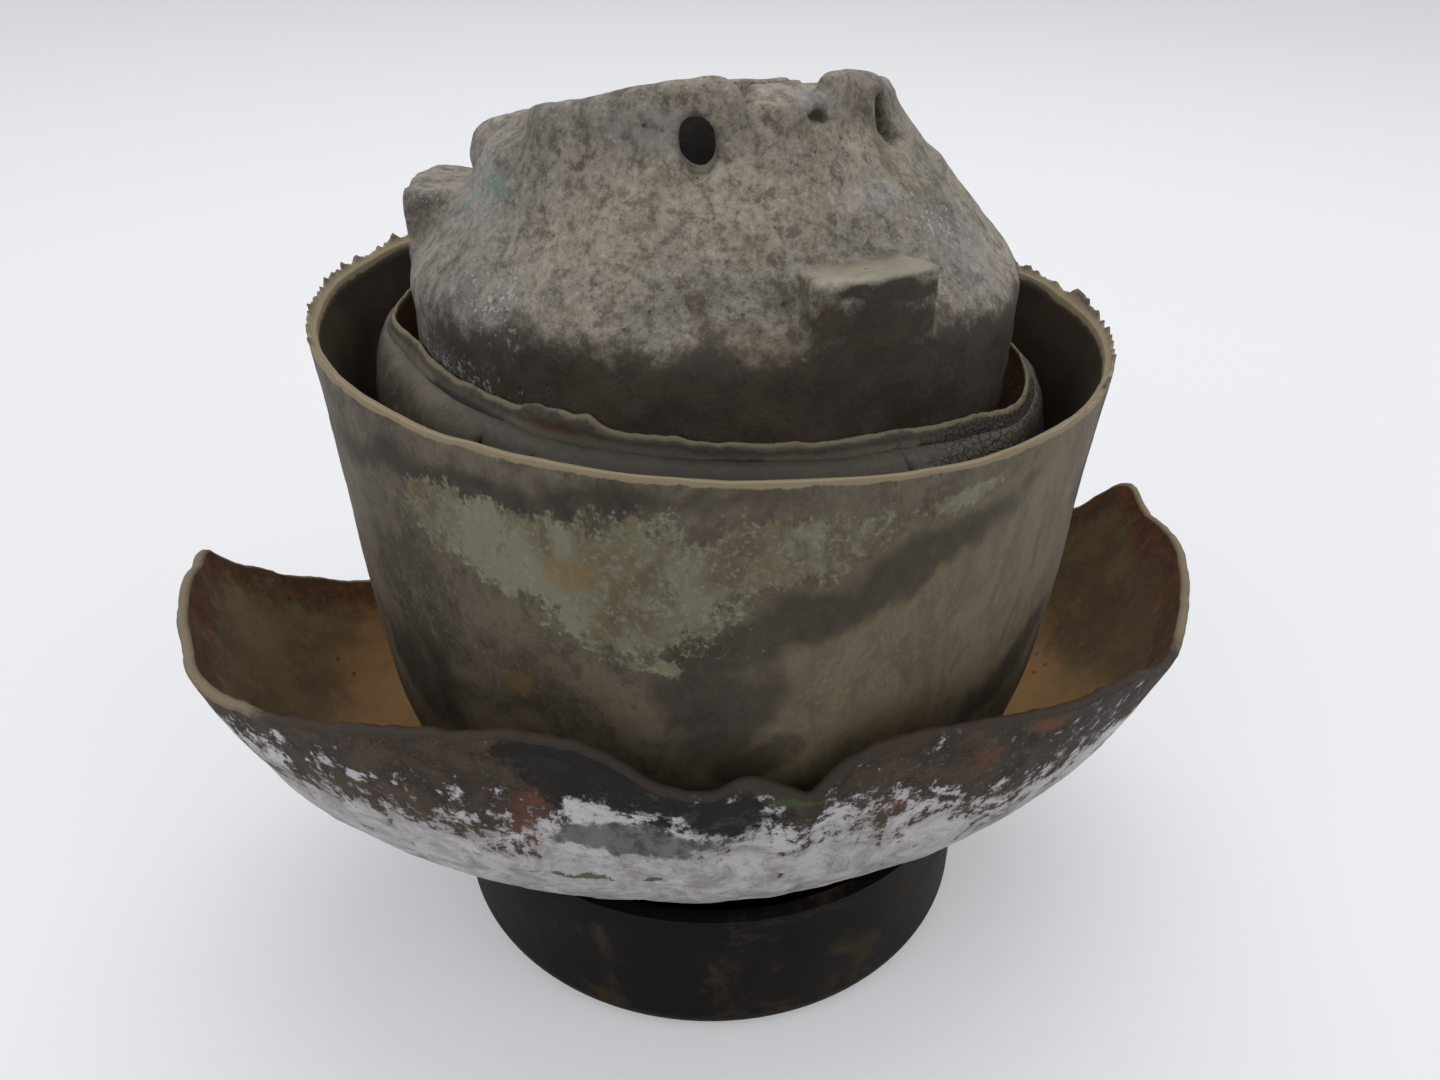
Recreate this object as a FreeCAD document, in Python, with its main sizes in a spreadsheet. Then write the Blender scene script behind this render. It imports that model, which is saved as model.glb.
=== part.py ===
# Hydraulic engine mount, upside down as it stands on a bench.
# Millimetres. The origin is on the mount's axis at the face of the base cup, +Z is up,
# and +X runs along the heat shield's long axis.
import FreeCAD
import Part
import Sketcher
import math
import os
import re

Vector = FreeCAD.Vector
Rotation = FreeCAD.Rotation
Placement = FreeCAD.Placement

doc = FreeCAD.newDocument("engine_mount")

SIZES = [
    # base cup and the stack that is clamped on the core's neck
    ("base_radius", 46, "outside of the base cup"),
    ("base_height", 26.5, "height of the shield's floor above the base"),
    ("cup_edge_gap", 0.3, "base cup's edge stays clear of the shield, the sleeve carries it"),
    ("base_steel", 2.5, "base cup's wall and bottom"),
    ("base_edge_round", 4, "rounding of the base cup's bottom edge"),
    ("key_hole_radius", 4.1, "locating hole in the base cup"),
    ("key_hole_pitch", 31, "locating hole's distance from the axis"),
    ("foot_radius", 14, "core's foot, through the base cup's bottom"),
    ("neck_radius", 18, "core's neck, through sleeve, shield, boot and ring"),
    ("sleeve_wall", 5, "spacer sleeve's wall"),
    ("clamp_ring_radius", 32, "outside of the boot's clamp ring"),
    ("clamp_ring_height", 3.5, "boot clamp ring's thickness"),
    # heat shield
    ("shield_steel", 1.5, "heat shield's sheet"),
    ("shield_floor_long", 46, "half length of the shield's flat floor"),
    ("shield_floor_wide", 40, "half width of the shield's flat floor"),
    ("shield_half_length", 89, "half length of the dish at its full depth"),
    ("shield_half_width", 60.6, "half width of the dish at its full depth"),
    ("shield_depth", 50, "full depth of the dish before its rim is trimmed"),
    ("rim_wing_height", 35, "rim above the floor at the wing tips"),
    ("rim_front_height", 48, "rim above the floor at the front"),
    ("rim_back_height", 13, "rim above the floor behind the boot"),
    ("notch_depth", 9.5, "dip in the front rim"),
    ("notch_width", 34, "width of the dip at the rim"),
    ("notch_offset", -9, "middle of the dip along the shield"),
    # boot
    ("boot_foot_radius", 41, "boot's outside where it leaves the shield's floor"),
    ("mouth_gap", 7.5, "boot's open end stands clear of the collar"),
    ("boot_height", 79.8, "boot's height above the shield's floor"),
    ("boot_wall", 2, "boot's wall"),
    ("boot_floor", 2.5, "boot's clamped floor"),
    # core above its neck
    ("core_radius", 30, "core's widest radius, bonded to the spring"),
    ("core_shoulder_radius", 27, "core's shoulder on the clamp ring"),
    ("core_waist_height", 22, "top of the widest stretch above the shoulder"),
    ("core_height", 38, "core's top above the shoulder"),
    ("core_top_radius", 25, "core's top edge"),
    ("insert_radius", 9, "core insert's outside"),
    ("insert_length", 32, "core insert's length"),
    ("thread_radius", 5.1, "wall of an M12 threaded hole"),
    ("thread_depth", 26, "depth of the core insert's hole"),
    # outer ring and spring
    ("can_radius", 46, "outer ring's inside, which holds plates and housing"),
    ("ring_steel", 1.5, "outer ring's sheet"),
    ("ring_cone_radius", 41, "small end of the outer ring's cone"),
    ("ring_cone_foot", 60, "height of the outer ring's small end"),
    ("ring_cone_top", 70, "height where the cone becomes a cylinder"),
    ("shelf_height", 76, "shelf in the spring that carries the track plates"),
    ("collar_wall", 3, "spring's collar outside the outer ring"),
    ("collar_top", 107, "top of the collar's lip"),
    ("collar_round", 4, "rounding of the collar's outer edge"),
    # track plates
    ("plate_thickness", 4, "thickness of each track plate"),
    ("press_gap", 0.1, "gap round a pressed or crimped piece"),
    ("track_inner_radius", 31, "inside of the inertia track"),
    ("track_outer_radius", 37, "outside of the inertia track"),
    ("track_depth", 2.5, "depth of the track in each plate"),
    ("track_sweep", 300, "angle that the track runs"),
    ("cage_radius", 20, "cage of the decoupler disc"),
    ("cage_depth", 1.4, "depth of the cage in each plate"),
    ("disc_gap", 0.3, "gap between decoupler disc and cage"),
    ("grid_hole_radius", 2.2, "holes through the plates over the disc"),
    ("grid_hole_count", 8, "number of holes on that ring"),
    ("port_angle", 8, "angle from the track's end to its port"),
    ("grid_ring_radius", 13, "ring on which these holes lie"),
    ("rivet_radius", 1.6, "rivets that join the plates"),
    ("rivet_head_radius", 3, "their heads"),
    ("rivet_head_height", 1.2, "thickness of their heads"),
    ("rivet_pitch", 26, "their distance from the axis"),
    # bellows
    ("bead_height", 2.5, "bellows' clamped bead"),
    ("bellows_wall", 1.5, "bellows' wall"),
    ("bellows_gap", 0.5, "bellows clear of the housing's wall"),
    ("bellows_height", 27, "bellows' crest above the upper plate"),
    ("bellows_ring_height", 1.5, "steel ring on the bellows' bead"),
    # housing
    ("crimp_lap", 2.5, "housing's wall stands in from the outer ring"),
    ("housing_wall", 5, "thickness of the housing's wall"),
    ("flange_height", 2, "housing's crimped flange"),
    ("shoulder_height", 117, "top of the housing's straight wall"),
    ("shoulder_round", 6, "rounding between wall and cone"),
    ("cone_height", 127.6, "top of the 45 degree cone"),
    ("cone_radius", 34, "cone's top radius"),
    ("crown_foot", 139, "top of the steep cone"),
    ("crown_radius", 27.5, "crown's radius there"),
    ("crown_top", 153, "crown's blank before its face is cut"),
    ("crown_top_radius", 27, "radius of that blank"),
    ("crown_shift", -4.5, "sideways shift of the crown's top"),
    ("face_height", 139.9, "height of the slanted face on the axis"),
    ("face_tilt", 12, "slant of the crown's face"),
    ("crown_wall", 5, "wall of the crown"),
    ("recess_floor", 128, "floor of the recess in the crown"),
    ("boss_radius", 12, "boss round the housing insert"),
    ("boss_drop", 0.5, "boss below the slanted face"),
    ("roof_insert_radius", 8, "housing insert's outside"),
    ("roof_insert_length", 17, "housing insert's length"),
    ("roof_thread_depth", 14.5, "depth of its hole"),
    ("cavity_shoulder", 110, "top of the inside's straight wall"),
    ("cavity_top", 118, "ceiling of the housing"),
    ("cavity_top_radius", 31, "ceiling's radius"),
    ("lug_top", 125.8, "ledge of each lug"),
    ("lug_width", 18, "width of each lug"),
    ("lug_height", 11.3, "height of each lug"),
    ("lug_inner_radius", 35, "where each lug runs into the cone"),
    ("lug_count", 3, "lugs round the housing"),
    ("vent_width", 4.2, "width of a vent"),
    ("vent_height", 6.4, "height of a vent"),
    ("vent_middle", 138.8, "height of a vent's middle"),
    ("vent_left_angle", -25, "left vent from the housing's front"),
    ("vent_right_angle", 35, "right vent from the housing's front"),
    ("key_notch_width", 10, "width of the notch in the crown's face"),
    ("key_notch_depth", 4.2, "depth of that notch"),
    ("housing_turn", 16.7, "housing's front, turned from the shield's"),
    # sizes that follow from others
    ("collar_radius", "=can_radius + ring_steel + collar_wall", "outside of the collar"),
    ("boot_mouth_radius", "=collar_radius + mouth_gap", "boot's outside at its open end"),
    ("wall_radius", "=can_radius - crimp_lap", "outside of the housing's wall"),
    ("cavity_radius", "=wall_radius - housing_wall", "inside of the housing"),
    ("bellows_radius", "=cavity_radius - bellows_gap", "outside of the bellows"),
]

ALIASES = {entry[0] for entry in SIZES}

sheet = doc.addObject("Spreadsheet::Sheet", "Sizes")
for row, (alias, value, note) in enumerate(SIZES, start=1):
    sheet.set(f"A{row}", note)
    sheet.set(f"B{row}", str(value))
    sheet.setAlias(f"B{row}", alias)
doc.recompute()


def size(text):
    """The value of an expression over the sheet's aliases, in millimetres."""
    value = sheet.evalExpression(text)
    return float(getattr(value, "Value", value))


def bound(text):
    """The same expression as another object of the document writes it."""
    return re.sub(r"[a-z][a-z_]*", lambda word: named(word.group()), text)


def named(word):
    return "Sizes." + word if word in ALIASES else word


def origin_plane(body, role):
    return next(item for item in body.Origin.OriginFeatures if item.Role == role)


def new_body(name):
    body = doc.addObject("PartDesign::Body", name)
    body.Label = name
    return body


def new_sketch(body, name, role, height="0", tilt=None):
    """A sketch on an origin plane, lifted by height and turned about X by tilt."""
    sketch = body.newObject("Sketcher::SketchObject", name)
    sketch.AttachmentSupport = (origin_plane(body, role), [""])
    sketch.MapMode = "FlatFace"
    turn_by = Rotation(Vector(1, 0, 0), -size(tilt)) if tilt else Rotation()
    sketch.AttachmentOffset = Placement(Vector(0, 0, size(height)), turn_by)
    if height != "0":
        sketch.setExpression("AttachmentOffset.Base.z", bound(height))
    if tilt:
        sketch.setExpression("AttachmentOffset.Rotation.Angle", "-1 * " + bound(tilt))
    return sketch


def bind(sketch, rule, text):
    sketch.setExpression(f"Constraints[{rule}]", bound(text))


def fix_point(sketch, item, end, across, up):
    """Hold a point of an item at a place given by two expressions."""
    for kind, text, axis in (("DistanceX", across, -2), ("DistanceY", up, -1)):
        if text == "0":
            sketch.addConstraint(Sketcher.Constraint("PointOnObject", item, end, axis))
            continue
        limit = Sketcher.Constraint(kind, -1, 1, item, end, size(text))
        bind(sketch, sketch.addConstraint(limit), text)


def outline(sketch, corners):
    """A closed outline of straight lines, each corner a pair of expressions."""
    places = [Vector(size(across), size(up), 0) for across, up in corners]
    count = len(corners)
    for i in range(count):
        sketch.addGeometry(Part.LineSegment(places[i], places[(i + 1) % count]), False)
    for i in range(count):
        sketch.addConstraint(Sketcher.Constraint("Coincident", i, 2, (i + 1) % count, 1))
    for i, (across, up) in enumerate(corners):
        fix_point(sketch, i, 1, across, up)


def fix_radius(sketch, arc, radius):
    bind(sketch, sketch.addConstraint(Sketcher.Constraint("Radius", arc, size(radius))), radius)


def circle(sketch, radius, across="0", up="0"):
    """A circle of a radius and a centre given by expressions."""
    centre = Vector(size(across), size(up), 0)
    ring = sketch.addGeometry(Part.Circle(centre, Vector(0, 0, 1), size(radius)), False)
    fix_radius(sketch, ring, radius)
    fix_point(sketch, ring, 3, across, up)


def turn(body, name, corners, kind="PartDesign::Revolution", angle="360"):
    """Turn an outline of (radius, height) corners about Z, as material or as a groove."""
    sketch = new_sketch(body, name + "_outline", "XZ_Plane")
    outline(sketch, corners)
    feature = body.newObject(kind, name)
    feature.Profile = sketch
    feature.ReferenceAxis = (sketch, ["V_Axis"])
    feature.Angle = size(angle)
    if angle != "360":
        feature.setExpression("Angle", bound(angle))
    doc.recompute()
    return feature


def turned(name, corners):
    """A body that is one turned outline."""
    body = new_body(name)
    turn(body, name + "_turned", corners)
    return body


def cut(body, name, sketch, depth, upward=False):
    """A pocket of a sketch, down its normal, or up it."""
    before = body.Shape.Volume
    pocket = body.newObject("PartDesign::Pocket", name)
    pocket.Profile = sketch
    pocket.Length = size(depth)
    pocket.setExpression("Length", bound(depth))
    pocket.Reversed = upward
    doc.recompute()
    if not body.Shape.Volume < before:
        raise ValueError(name + " cuts nothing")
    return pocket


def around(body, name, features, count):
    """Repeat features round Z."""
    pattern = body.newObject("PartDesign::PolarPattern", name)
    pattern.Originals = features
    pattern.Axis = (origin_plane(body, "Z_Axis"), [""])
    pattern.Angle = 360
    pattern.Occurrences = int(size(count))
    body.Tip = pattern
    doc.recompute()
    return pattern


def round_edges(body, name, radius, wanted):
    """Fillet the edges of the body's tip that the test picks."""
    base = body.Tip
    edges = [f"Edge{i}" for i, edge in enumerate(base.Shape.Edges, start=1) if wanted(edge)]
    fillet = body.newObject("PartDesign::Fillet", name)
    fillet.Base = (base, edges)
    fillet.Radius = size(radius)
    fillet.setExpression("Radius", bound(radius))
    doc.recompute()
    return fillet


def ring_edge(radius, height):
    """A test for the circle of that radius at that height."""
    def found(edge):
        curve = edge.Curve
        if not isinstance(curve, Part.Circle):
            return False
        return abs(curve.Radius - size(radius)) < 0.01 and abs(curve.Center.z - size(height)) < 0.01
    return found


def cylinder(name, radius, height, base="0"):
    item = doc.addObject("Part::Cylinder", name)
    item.setExpression("Radius", bound(radius))
    item.setExpression("Height", bound(height))
    item.setExpression("Placement.Base.z", bound(base))
    return item


def part_cut(name, base, tool):
    result = doc.addObject("Part::Cut", name)
    result.Base = base
    result.Tool = tool
    result.Label = name
    doc.recompute()
    return result


# ---- base cup and the stack on the core's neck ----

SHIELD_TOP = "(base_height + shield_steel)"
BOOT_FLOOR_TOP = f"({SHIELD_TOP} + boot_floor)"
SHOULDER = f"({BOOT_FLOOR_TOP} + clamp_ring_height)"


def make_base_cup():
    body = turned("base_cup", [
        ("foot_radius", "0"),
        ("base_radius", "0"),
        ("base_radius", "base_height - cup_edge_gap"),
        ("base_radius - base_steel", "base_height - cup_edge_gap"),
        ("base_radius - base_steel", "base_steel"),
        ("foot_radius", "base_steel"),
    ])
    round_edges(body, "edge_outside", "base_edge_round", ring_edge("base_radius", "0"))
    inside = ring_edge("base_radius - base_steel", "base_steel")
    round_edges(body, "edge_inside", "base_edge_round - base_steel", inside)
    sketch = new_sketch(body, "key_hole_place", "XY_Plane", "base_steel")
    circle(sketch, "key_hole_radius", "0", "key_hole_pitch")
    cut(body, "key_hole", sketch, "base_steel")
    return body


def make_spacer_sleeve():
    return turned("spacer_sleeve", [
        ("neck_radius", "base_steel"),
        ("neck_radius + sleeve_wall", "base_steel"),
        ("neck_radius + sleeve_wall", "base_height"),
        ("neck_radius", "base_height"),
    ])


def make_boot_clamp_ring():
    return turned("boot_clamp_ring", [
        ("neck_radius", BOOT_FLOOR_TOP),
        ("clamp_ring_radius", BOOT_FLOOR_TOP),
        ("clamp_ring_radius", SHOULDER),
        ("neck_radius", SHOULDER),
    ])


CORE_BOND_FOOT = f"({SHOULDER} + core_waist_height * 0.45)"
CORE_WAIST = f"({SHOULDER} + core_waist_height)"
CORE_EDGE = f"({SHOULDER} + core_height * 0.93)"
CORE_TOP = f"({SHOULDER} + core_height)"


def make_inner_core():
    return turned("inner_core", [
        ("insert_radius", "0"),
        ("foot_radius", "0"),
        ("foot_radius", "base_steel"),
        ("neck_radius", "base_steel"),
        ("neck_radius", SHOULDER),
        ("core_shoulder_radius", SHOULDER),
        ("core_radius", CORE_BOND_FOOT),
        ("core_radius", CORE_WAIST),
        ("core_top_radius", CORE_EDGE),
        ("core_top_radius * 0.8", CORE_TOP),
        ("0", CORE_TOP),
        ("0", "insert_length"),
        ("insert_radius", "insert_length"),
    ])


def make_core_insert():
    return turned("core_insert", [
        ("thread_radius", "0"),
        ("insert_radius", "0"),
        ("insert_radius", "insert_length"),
        ("0", "insert_length"),
        ("0", "thread_depth + thread_radius * 0.6"),
        ("thread_radius", "thread_depth"),
    ])


# ---- heat shield: a deep oval dish with a trimmed rim ----

# How the dish opens from its floor to its full size: the share of its depth,
# of its growth in length and of its growth in width.
DISH_FORM = [
    (0.00, 0.000, 0.000),
    (0.06, 0.372, 0.209),
    (0.19, 0.577, 0.417),
    (0.39, 0.735, 0.700),
    (0.68, 0.884, 0.893),
    (1.00, 1.000, 1.000),
]
LENGTH_GROWTH = "(shield_half_length - shield_floor_long)"
WIDTH_GROWTH = "(shield_half_width - shield_floor_wide)"


def dish_lean(place, growth, column):
    """Tangent of half the wall's steepness at one entry of the form, for insetting it."""
    low = DISH_FORM[max(place - 1, 0)]
    high = DISH_FORM[min(place + 1, len(DISH_FORM) - 1)]
    rise = (high[0] - low[0]) * size("shield_depth")
    run = (high[column] - low[column]) * size(growth)
    return math.tan(math.atan2(rise, run) / 2)


def dish_oval(name, place, inset):
    """One oval of the dish; inset 0 is the outside, 1 is one sheet further in."""
    share, long_share, wide_share = DISH_FORM[place]
    lean_long = inset * dish_lean(place, LENGTH_GROWTH, 1)
    lean_wide = inset * dish_lean(place, WIDTH_GROWTH, 2)
    half_long = f"shield_floor_long + {LENGTH_GROWTH} * {long_share} - shield_steel * {lean_long:.4f}"
    half_wide = f"shield_floor_wide + {WIDTH_GROWTH} * {wide_share} - shield_steel * {lean_wide:.4f}"
    oval = doc.addObject("Part::Ellipse", name)
    oval.MajorRadius = size(half_long)
    oval.MinorRadius = size(half_wide)
    oval.setExpression("MajorRadius", bound(half_long))
    oval.setExpression("MinorRadius", bound(half_wide))
    height = f"base_height + shield_depth * {share} + shield_steel * {inset}"
    oval.setExpression("Placement.Base.z", bound(height))
    return oval


def dish_solid(name, inset):
    loft = doc.addObject("Part::Loft", name)
    loft.Sections = [dish_oval(f"{name}_oval_{i}", i, inset) for i in range(len(DISH_FORM))]
    loft.Solid = True
    return loft


def rim_blade(name, heights, side):
    """What stands above the rim's line on one side, from points of (along, above the floor)."""
    top = size("shield_depth") * 2
    line = Part.BSplineCurve()
    line.interpolate([Vector(along, 0, above) for along, above in heights])
    start = Vector(heights[0][0], 0, heights[0][1])
    end = Vector(heights[-1][0], 0, heights[-1][1])
    high_end = Vector(end.x, 0, top)
    high_start = Vector(start.x, 0, top)
    edges = [
        line.toShape(),
        Part.makeLine(end, high_end),
        Part.makeLine(high_end, high_start),
        Part.makeLine(high_start, start),
    ]
    face = Part.Face(Part.Wire(edges))
    item = doc.addObject("Part::Feature", name)
    item.Shape = face.extrude(Vector(0, side * size("shield_half_width") * 2, 0))
    item.Placement = Placement(Vector(0, 0, size("base_height")), Rotation())
    return item


def front_rim():
    """The front rim: high, falling to the wing tips, with the dip that clears the boot."""
    reach = size("shield_half_length") * 1.1
    wing = size("rim_wing_height")
    crest = size("rim_front_height")
    dip = size("notch_depth")
    half = size("notch_width") / 2
    middle = size("notch_offset")
    rise = crest - wing
    return [
        (-reach, wing),
        (-reach * 0.82, wing + rise * 0.1),
        (-reach * 0.6, wing + rise * 0.68),
        (middle - half * 1.7, crest),
        (middle - half, crest - dip * 0.12),
        (middle - half * 0.35, crest - dip),
        (middle + half * 0.2, crest - dip * 0.88),
        (middle + half * 0.62, crest - dip),
        (middle + half * 1.15, crest - rise * 0.35),
        (reach * 0.45, wing + rise * 0.5),
        (reach * 0.72, wing + rise * 0.05),
        (reach, wing - rise * 0.1),
    ]


def back_rim():
    """The back rim: low behind the boot, rising to the hooked wing tips."""
    reach = size("shield_half_length") * 1.1
    wing = size("rim_wing_height")
    low = size("rim_back_height")
    shoulder = wing * 0.4 + low * 0.46
    return [
        (-reach, wing * 1.08),
        (-reach * 0.86, wing * 1.03),
        (-reach * 0.62, shoulder),
        (-reach * 0.3, low),
        (reach * 0.3, low),
        (reach * 0.62, shoulder),
        (reach * 0.86, wing * 1.03),
        (reach, wing * 1.08),
    ]


def make_heat_shield():
    shell = part_cut("dish_shell", dish_solid("dish_outside", 0), dish_solid("dish_inside", 1))
    front = part_cut("dish_front_trimmed", shell, rim_blade("front_blade", front_rim(), -1))
    both = part_cut("dish_trimmed", front, rim_blade("back_blade", back_rim(), 1))
    return part_cut("heat_shield", both, cylinder("shield_hole", "neck_radius", "base_height * 2"))


# ---- boot: a wide sleeve with a clamped floor ----

# Share of the boot's height, and share of its growth from foot to mouth.
BOOT_FORM = [(0.0, 0.0), (0.11, 0.28), (0.30, 0.60), (0.62, 0.84), (1.0, 1.0)]


def boot_solid(name, floor, wall):
    """The boot's outside, or its inside above a floor and within a wall."""
    rings = []
    for i, (share, growth) in enumerate(BOOT_FORM):
        radius = f"boot_foot_radius + (boot_mouth_radius - boot_foot_radius) * {growth} - {wall}"
        height = f"{SHIELD_TOP} + {floor} + (boot_height - {floor}) * {share}"
        ring = doc.addObject("Part::Circle", f"{name}_ring_{i}")
        ring.setExpression("Radius", bound(radius))
        ring.setExpression("Placement.Base.z", bound(height))
        rings.append(ring)
    loft = doc.addObject("Part::Loft", name)
    loft.Sections = rings
    loft.Solid = True
    return loft


def make_boot():
    outside = boot_solid("boot_outside", "0", "0")
    inside = boot_solid("boot_inside", "boot_floor", "boot_wall")
    sleeve = part_cut("boot_sleeve", outside, inside)
    return part_cut("boot", sleeve, cylinder("boot_hole", "neck_radius", "base_height * 2"))


# ---- outer ring and main spring ----

LOWER_PLATE = "shelf_height"
JOINT = "(shelf_height + plate_thickness)"
UPPER_PLATE = "(shelf_height + 2 * plate_thickness)"
BEAD_TOP = f"({UPPER_PLATE} + bead_height)"
FLANGE_FOOT = f"({BEAD_TOP} + bellows_ring_height)"
RING_TOP = f"({FLANGE_FOOT} + flange_height)"
ROLLED_TOP = f"({RING_TOP} + ring_steel)"
ROLLED_RADIUS = "(wall_radius + press_gap * 2)"
RING_OUTSIDE = "(can_radius + ring_steel)"
CONE_END = ("ring_cone_radius + ring_steel * 0.9", "ring_cone_foot - ring_steel * 0.45")
CONE_OUTSIDE = (RING_OUTSIDE, "ring_cone_top - ring_steel * 0.2")
PLATE_RADIUS = "(can_radius - press_gap)"


def make_outer_ring():
    return turned("outer_ring", [
        ("ring_cone_radius", "ring_cone_foot"),
        ("can_radius", "ring_cone_top"),
        ("can_radius", RING_TOP),
        (ROLLED_RADIUS, RING_TOP),
        (ROLLED_RADIUS, ROLLED_TOP),
        (RING_OUTSIDE, ROLLED_TOP),
        CONE_OUTSIDE,
        CONE_END,
    ])


def make_main_spring():
    body = turned("main_spring", [
        ("core_radius", CORE_BOND_FOOT),
        ("core_radius", CORE_WAIST),
        ("core_top_radius", CORE_EDGE),
        ("can_radius - 8", "shelf_height - 2.5"),
        ("can_radius - 7", "shelf_height"),
        ("can_radius", "shelf_height"),
        ("can_radius", "ring_cone_top"),
        ("ring_cone_radius", "ring_cone_foot"),
        CONE_END,
        CONE_OUTSIDE,
        (RING_OUTSIDE, ROLLED_TOP),
        (ROLLED_RADIUS, ROLLED_TOP),
        (ROLLED_RADIUS, "collar_top - 1"),
        (f"{ROLLED_RADIUS} + 1.5", "collar_top"),
        ("collar_radius", "collar_top - 1.5"),
        ("collar_radius", "ring_cone_top - 2"),
        ("collar_radius - 4.5", "ring_cone_foot - 2"),
        ("core_radius + 4", CORE_BOND_FOOT),
    ])
    shoulder = ring_edge("collar_radius", "collar_top - 1.5")
    round_edges(body, "collar_edge", "collar_round", shoulder)
    return body


# ---- track plates, decoupler disc and rivets ----

def make_track_plate(name, back, side):
    """A track plate; back is its outer side, and side is +1 above the joint and -1 below."""
    body = turned(name, [
        ("0", back),
        (PLATE_RADIUS, back),
        (PLATE_RADIUS, JOINT),
        ("cage_radius", JOINT),
        ("cage_radius", f"{JOINT} + {side} * cage_depth"),
        ("0", f"{JOINT} + {side} * cage_depth"),
    ])
    turn(body, name + "_track", [
        ("track_inner_radius", JOINT),
        ("track_outer_radius", JOINT),
        ("track_outer_radius", f"{JOINT} + {side} * track_depth"),
        ("track_inner_radius", f"{JOINT} + {side} * track_depth"),
    ], "PartDesign::Groove", "track_sweep")
    upward = side < 0
    seats = new_sketch(body, name + "_seats", "XY_Plane", back)
    four_circles(seats, "rivet_head_radius + press_gap")
    cut(body, name + "_counterbores", seats, "rivet_head_height", upward)
    shanks = new_sketch(body, name + "_shanks", "XY_Plane", back)
    four_circles(shanks, "rivet_radius")
    cut(body, name + "_rivet_holes", shanks, "plate_thickness", upward)
    middle = new_sketch(body, name + "_middle", "XY_Plane", back)
    circle(middle, "grid_hole_radius * 1.5")
    cut(body, name + "_middle_hole", middle, "plate_thickness", upward)
    cut_port(body, name, back, upward)
    grid = new_sketch(body, name + "_grid_place", "XY_Plane", back)
    circle(grid, "grid_hole_radius", "grid_ring_radius", "0")
    hole = cut(body, name + "_grid_hole", grid, "plate_thickness", upward)
    around(body, name + "_grid", [hole], "grid_hole_count")
    return body


def cut_port(body, name, back, upward):
    """The port that joins one end of the track to this plate's chamber."""
    middle = "(track_inner_radius + track_outer_radius) / 2"
    radius = "(track_outer_radius - track_inner_radius) / 2 - press_gap * 3"
    angle = "port_angle" if upward else "(track_sweep - port_angle)"
    sketch = new_sketch(body, name + "_port_place", "XY_Plane", back)
    circle(sketch, radius, f"{middle} * cos({angle})", f"{middle} * sin({angle})")
    cut(body, name + "_port", sketch, "plate_thickness", upward)


def four_circles(sketch, radius):
    """A circle at each rivet."""
    corner = "rivet_pitch * sqrt(0.5)"
    for x_sign, y_sign in ((1, 1), (-1, 1), (-1, -1), (1, -1)):
        circle(sketch, radius, f"{x_sign} * {corner}", f"{y_sign} * {corner}")


def make_decoupler_disc():
    low = f"{JOINT} - cage_depth + disc_gap"
    high = f"{JOINT} + cage_depth - disc_gap"
    return turned("decoupler_disc", [
        ("0", low),
        ("cage_radius - disc_gap", low),
        ("cage_radius - disc_gap", high),
        ("0", high),
    ])


def make_track_rivets():
    """Four rivets, each a shank and two heads set into the plates."""
    rivets = []
    for i in range(4):
        shank = cylinder(f"rivet_{i}_shank", "rivet_radius", "2 * plate_thickness", LOWER_PLATE)
        low = cylinder(f"rivet_{i}_low", "rivet_head_radius", "rivet_head_height", LOWER_PLATE)
        seat = f"{UPPER_PLATE} - rivet_head_height"
        high = cylinder(f"rivet_{i}_high", "rivet_head_radius", "rivet_head_height", seat)
        rivet = doc.addObject("Part::MultiFuse", f"rivet_{i}")
        rivet.Shapes = [shank, low, high]
        angle = 45 + 90 * i
        rivet.setExpression("Placement.Base.x", bound(f"rivet_pitch * cos({angle})"))
        rivet.setExpression("Placement.Base.y", bound(f"rivet_pitch * sin({angle})"))
        rivets.append(rivet)
    group = doc.addObject("Part::Compound", "track_rivets")
    group.Links = rivets
    group.Label = "track_rivets"
    return group


# ---- bellows and its ring ----

def make_bellows():
    crest = f"({UPPER_PLATE} + bellows_height)"
    return turned("bellows", [
        (PLATE_RADIUS, UPPER_PLATE),
        (PLATE_RADIUS, BEAD_TOP),
        ("bellows_radius", BEAD_TOP),
        ("bellows_radius - 1", f"{crest} - 14"),
        ("bellows_radius - 4.5", f"{crest} - 4"),
        ("bellows_radius - 13", crest),
        ("bellows_radius - 26", f"{crest} - 3"),
        ("0", f"{crest} - 4"),
        ("0", f"{crest} - 4 - bellows_wall"),
        ("bellows_radius - 26", f"{crest} - 3 - bellows_wall"),
        ("bellows_radius - 13.3", f"{crest} - bellows_wall"),
        ("bellows_radius - 5.8", f"{crest} - 4.8"),
        ("bellows_radius - 1 - bellows_wall", f"{crest} - 14"),
        ("bellows_radius - bellows_wall", UPPER_PLATE),
    ])


def make_bellows_ring():
    return turned("bellows_ring", [
        ("bellows_radius + press_gap * 3", BEAD_TOP),
        (PLATE_RADIUS, BEAD_TOP),
        (PLATE_RADIUS, FLANGE_FOOT),
        ("bellows_radius + press_gap * 3", FLANGE_FOOT),
    ])


# ---- housing: a cast can with lugs and a slanted, notched crown ----

def crown_shift_at(height):
    """Sideways place of the crown's middle at a height; it is central at the cone's top."""
    return f"(crown_shift * ({height} - cone_height) / (crown_top - cone_height))"


FACE_SHIFT = crown_shift_at("face_height")


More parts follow.
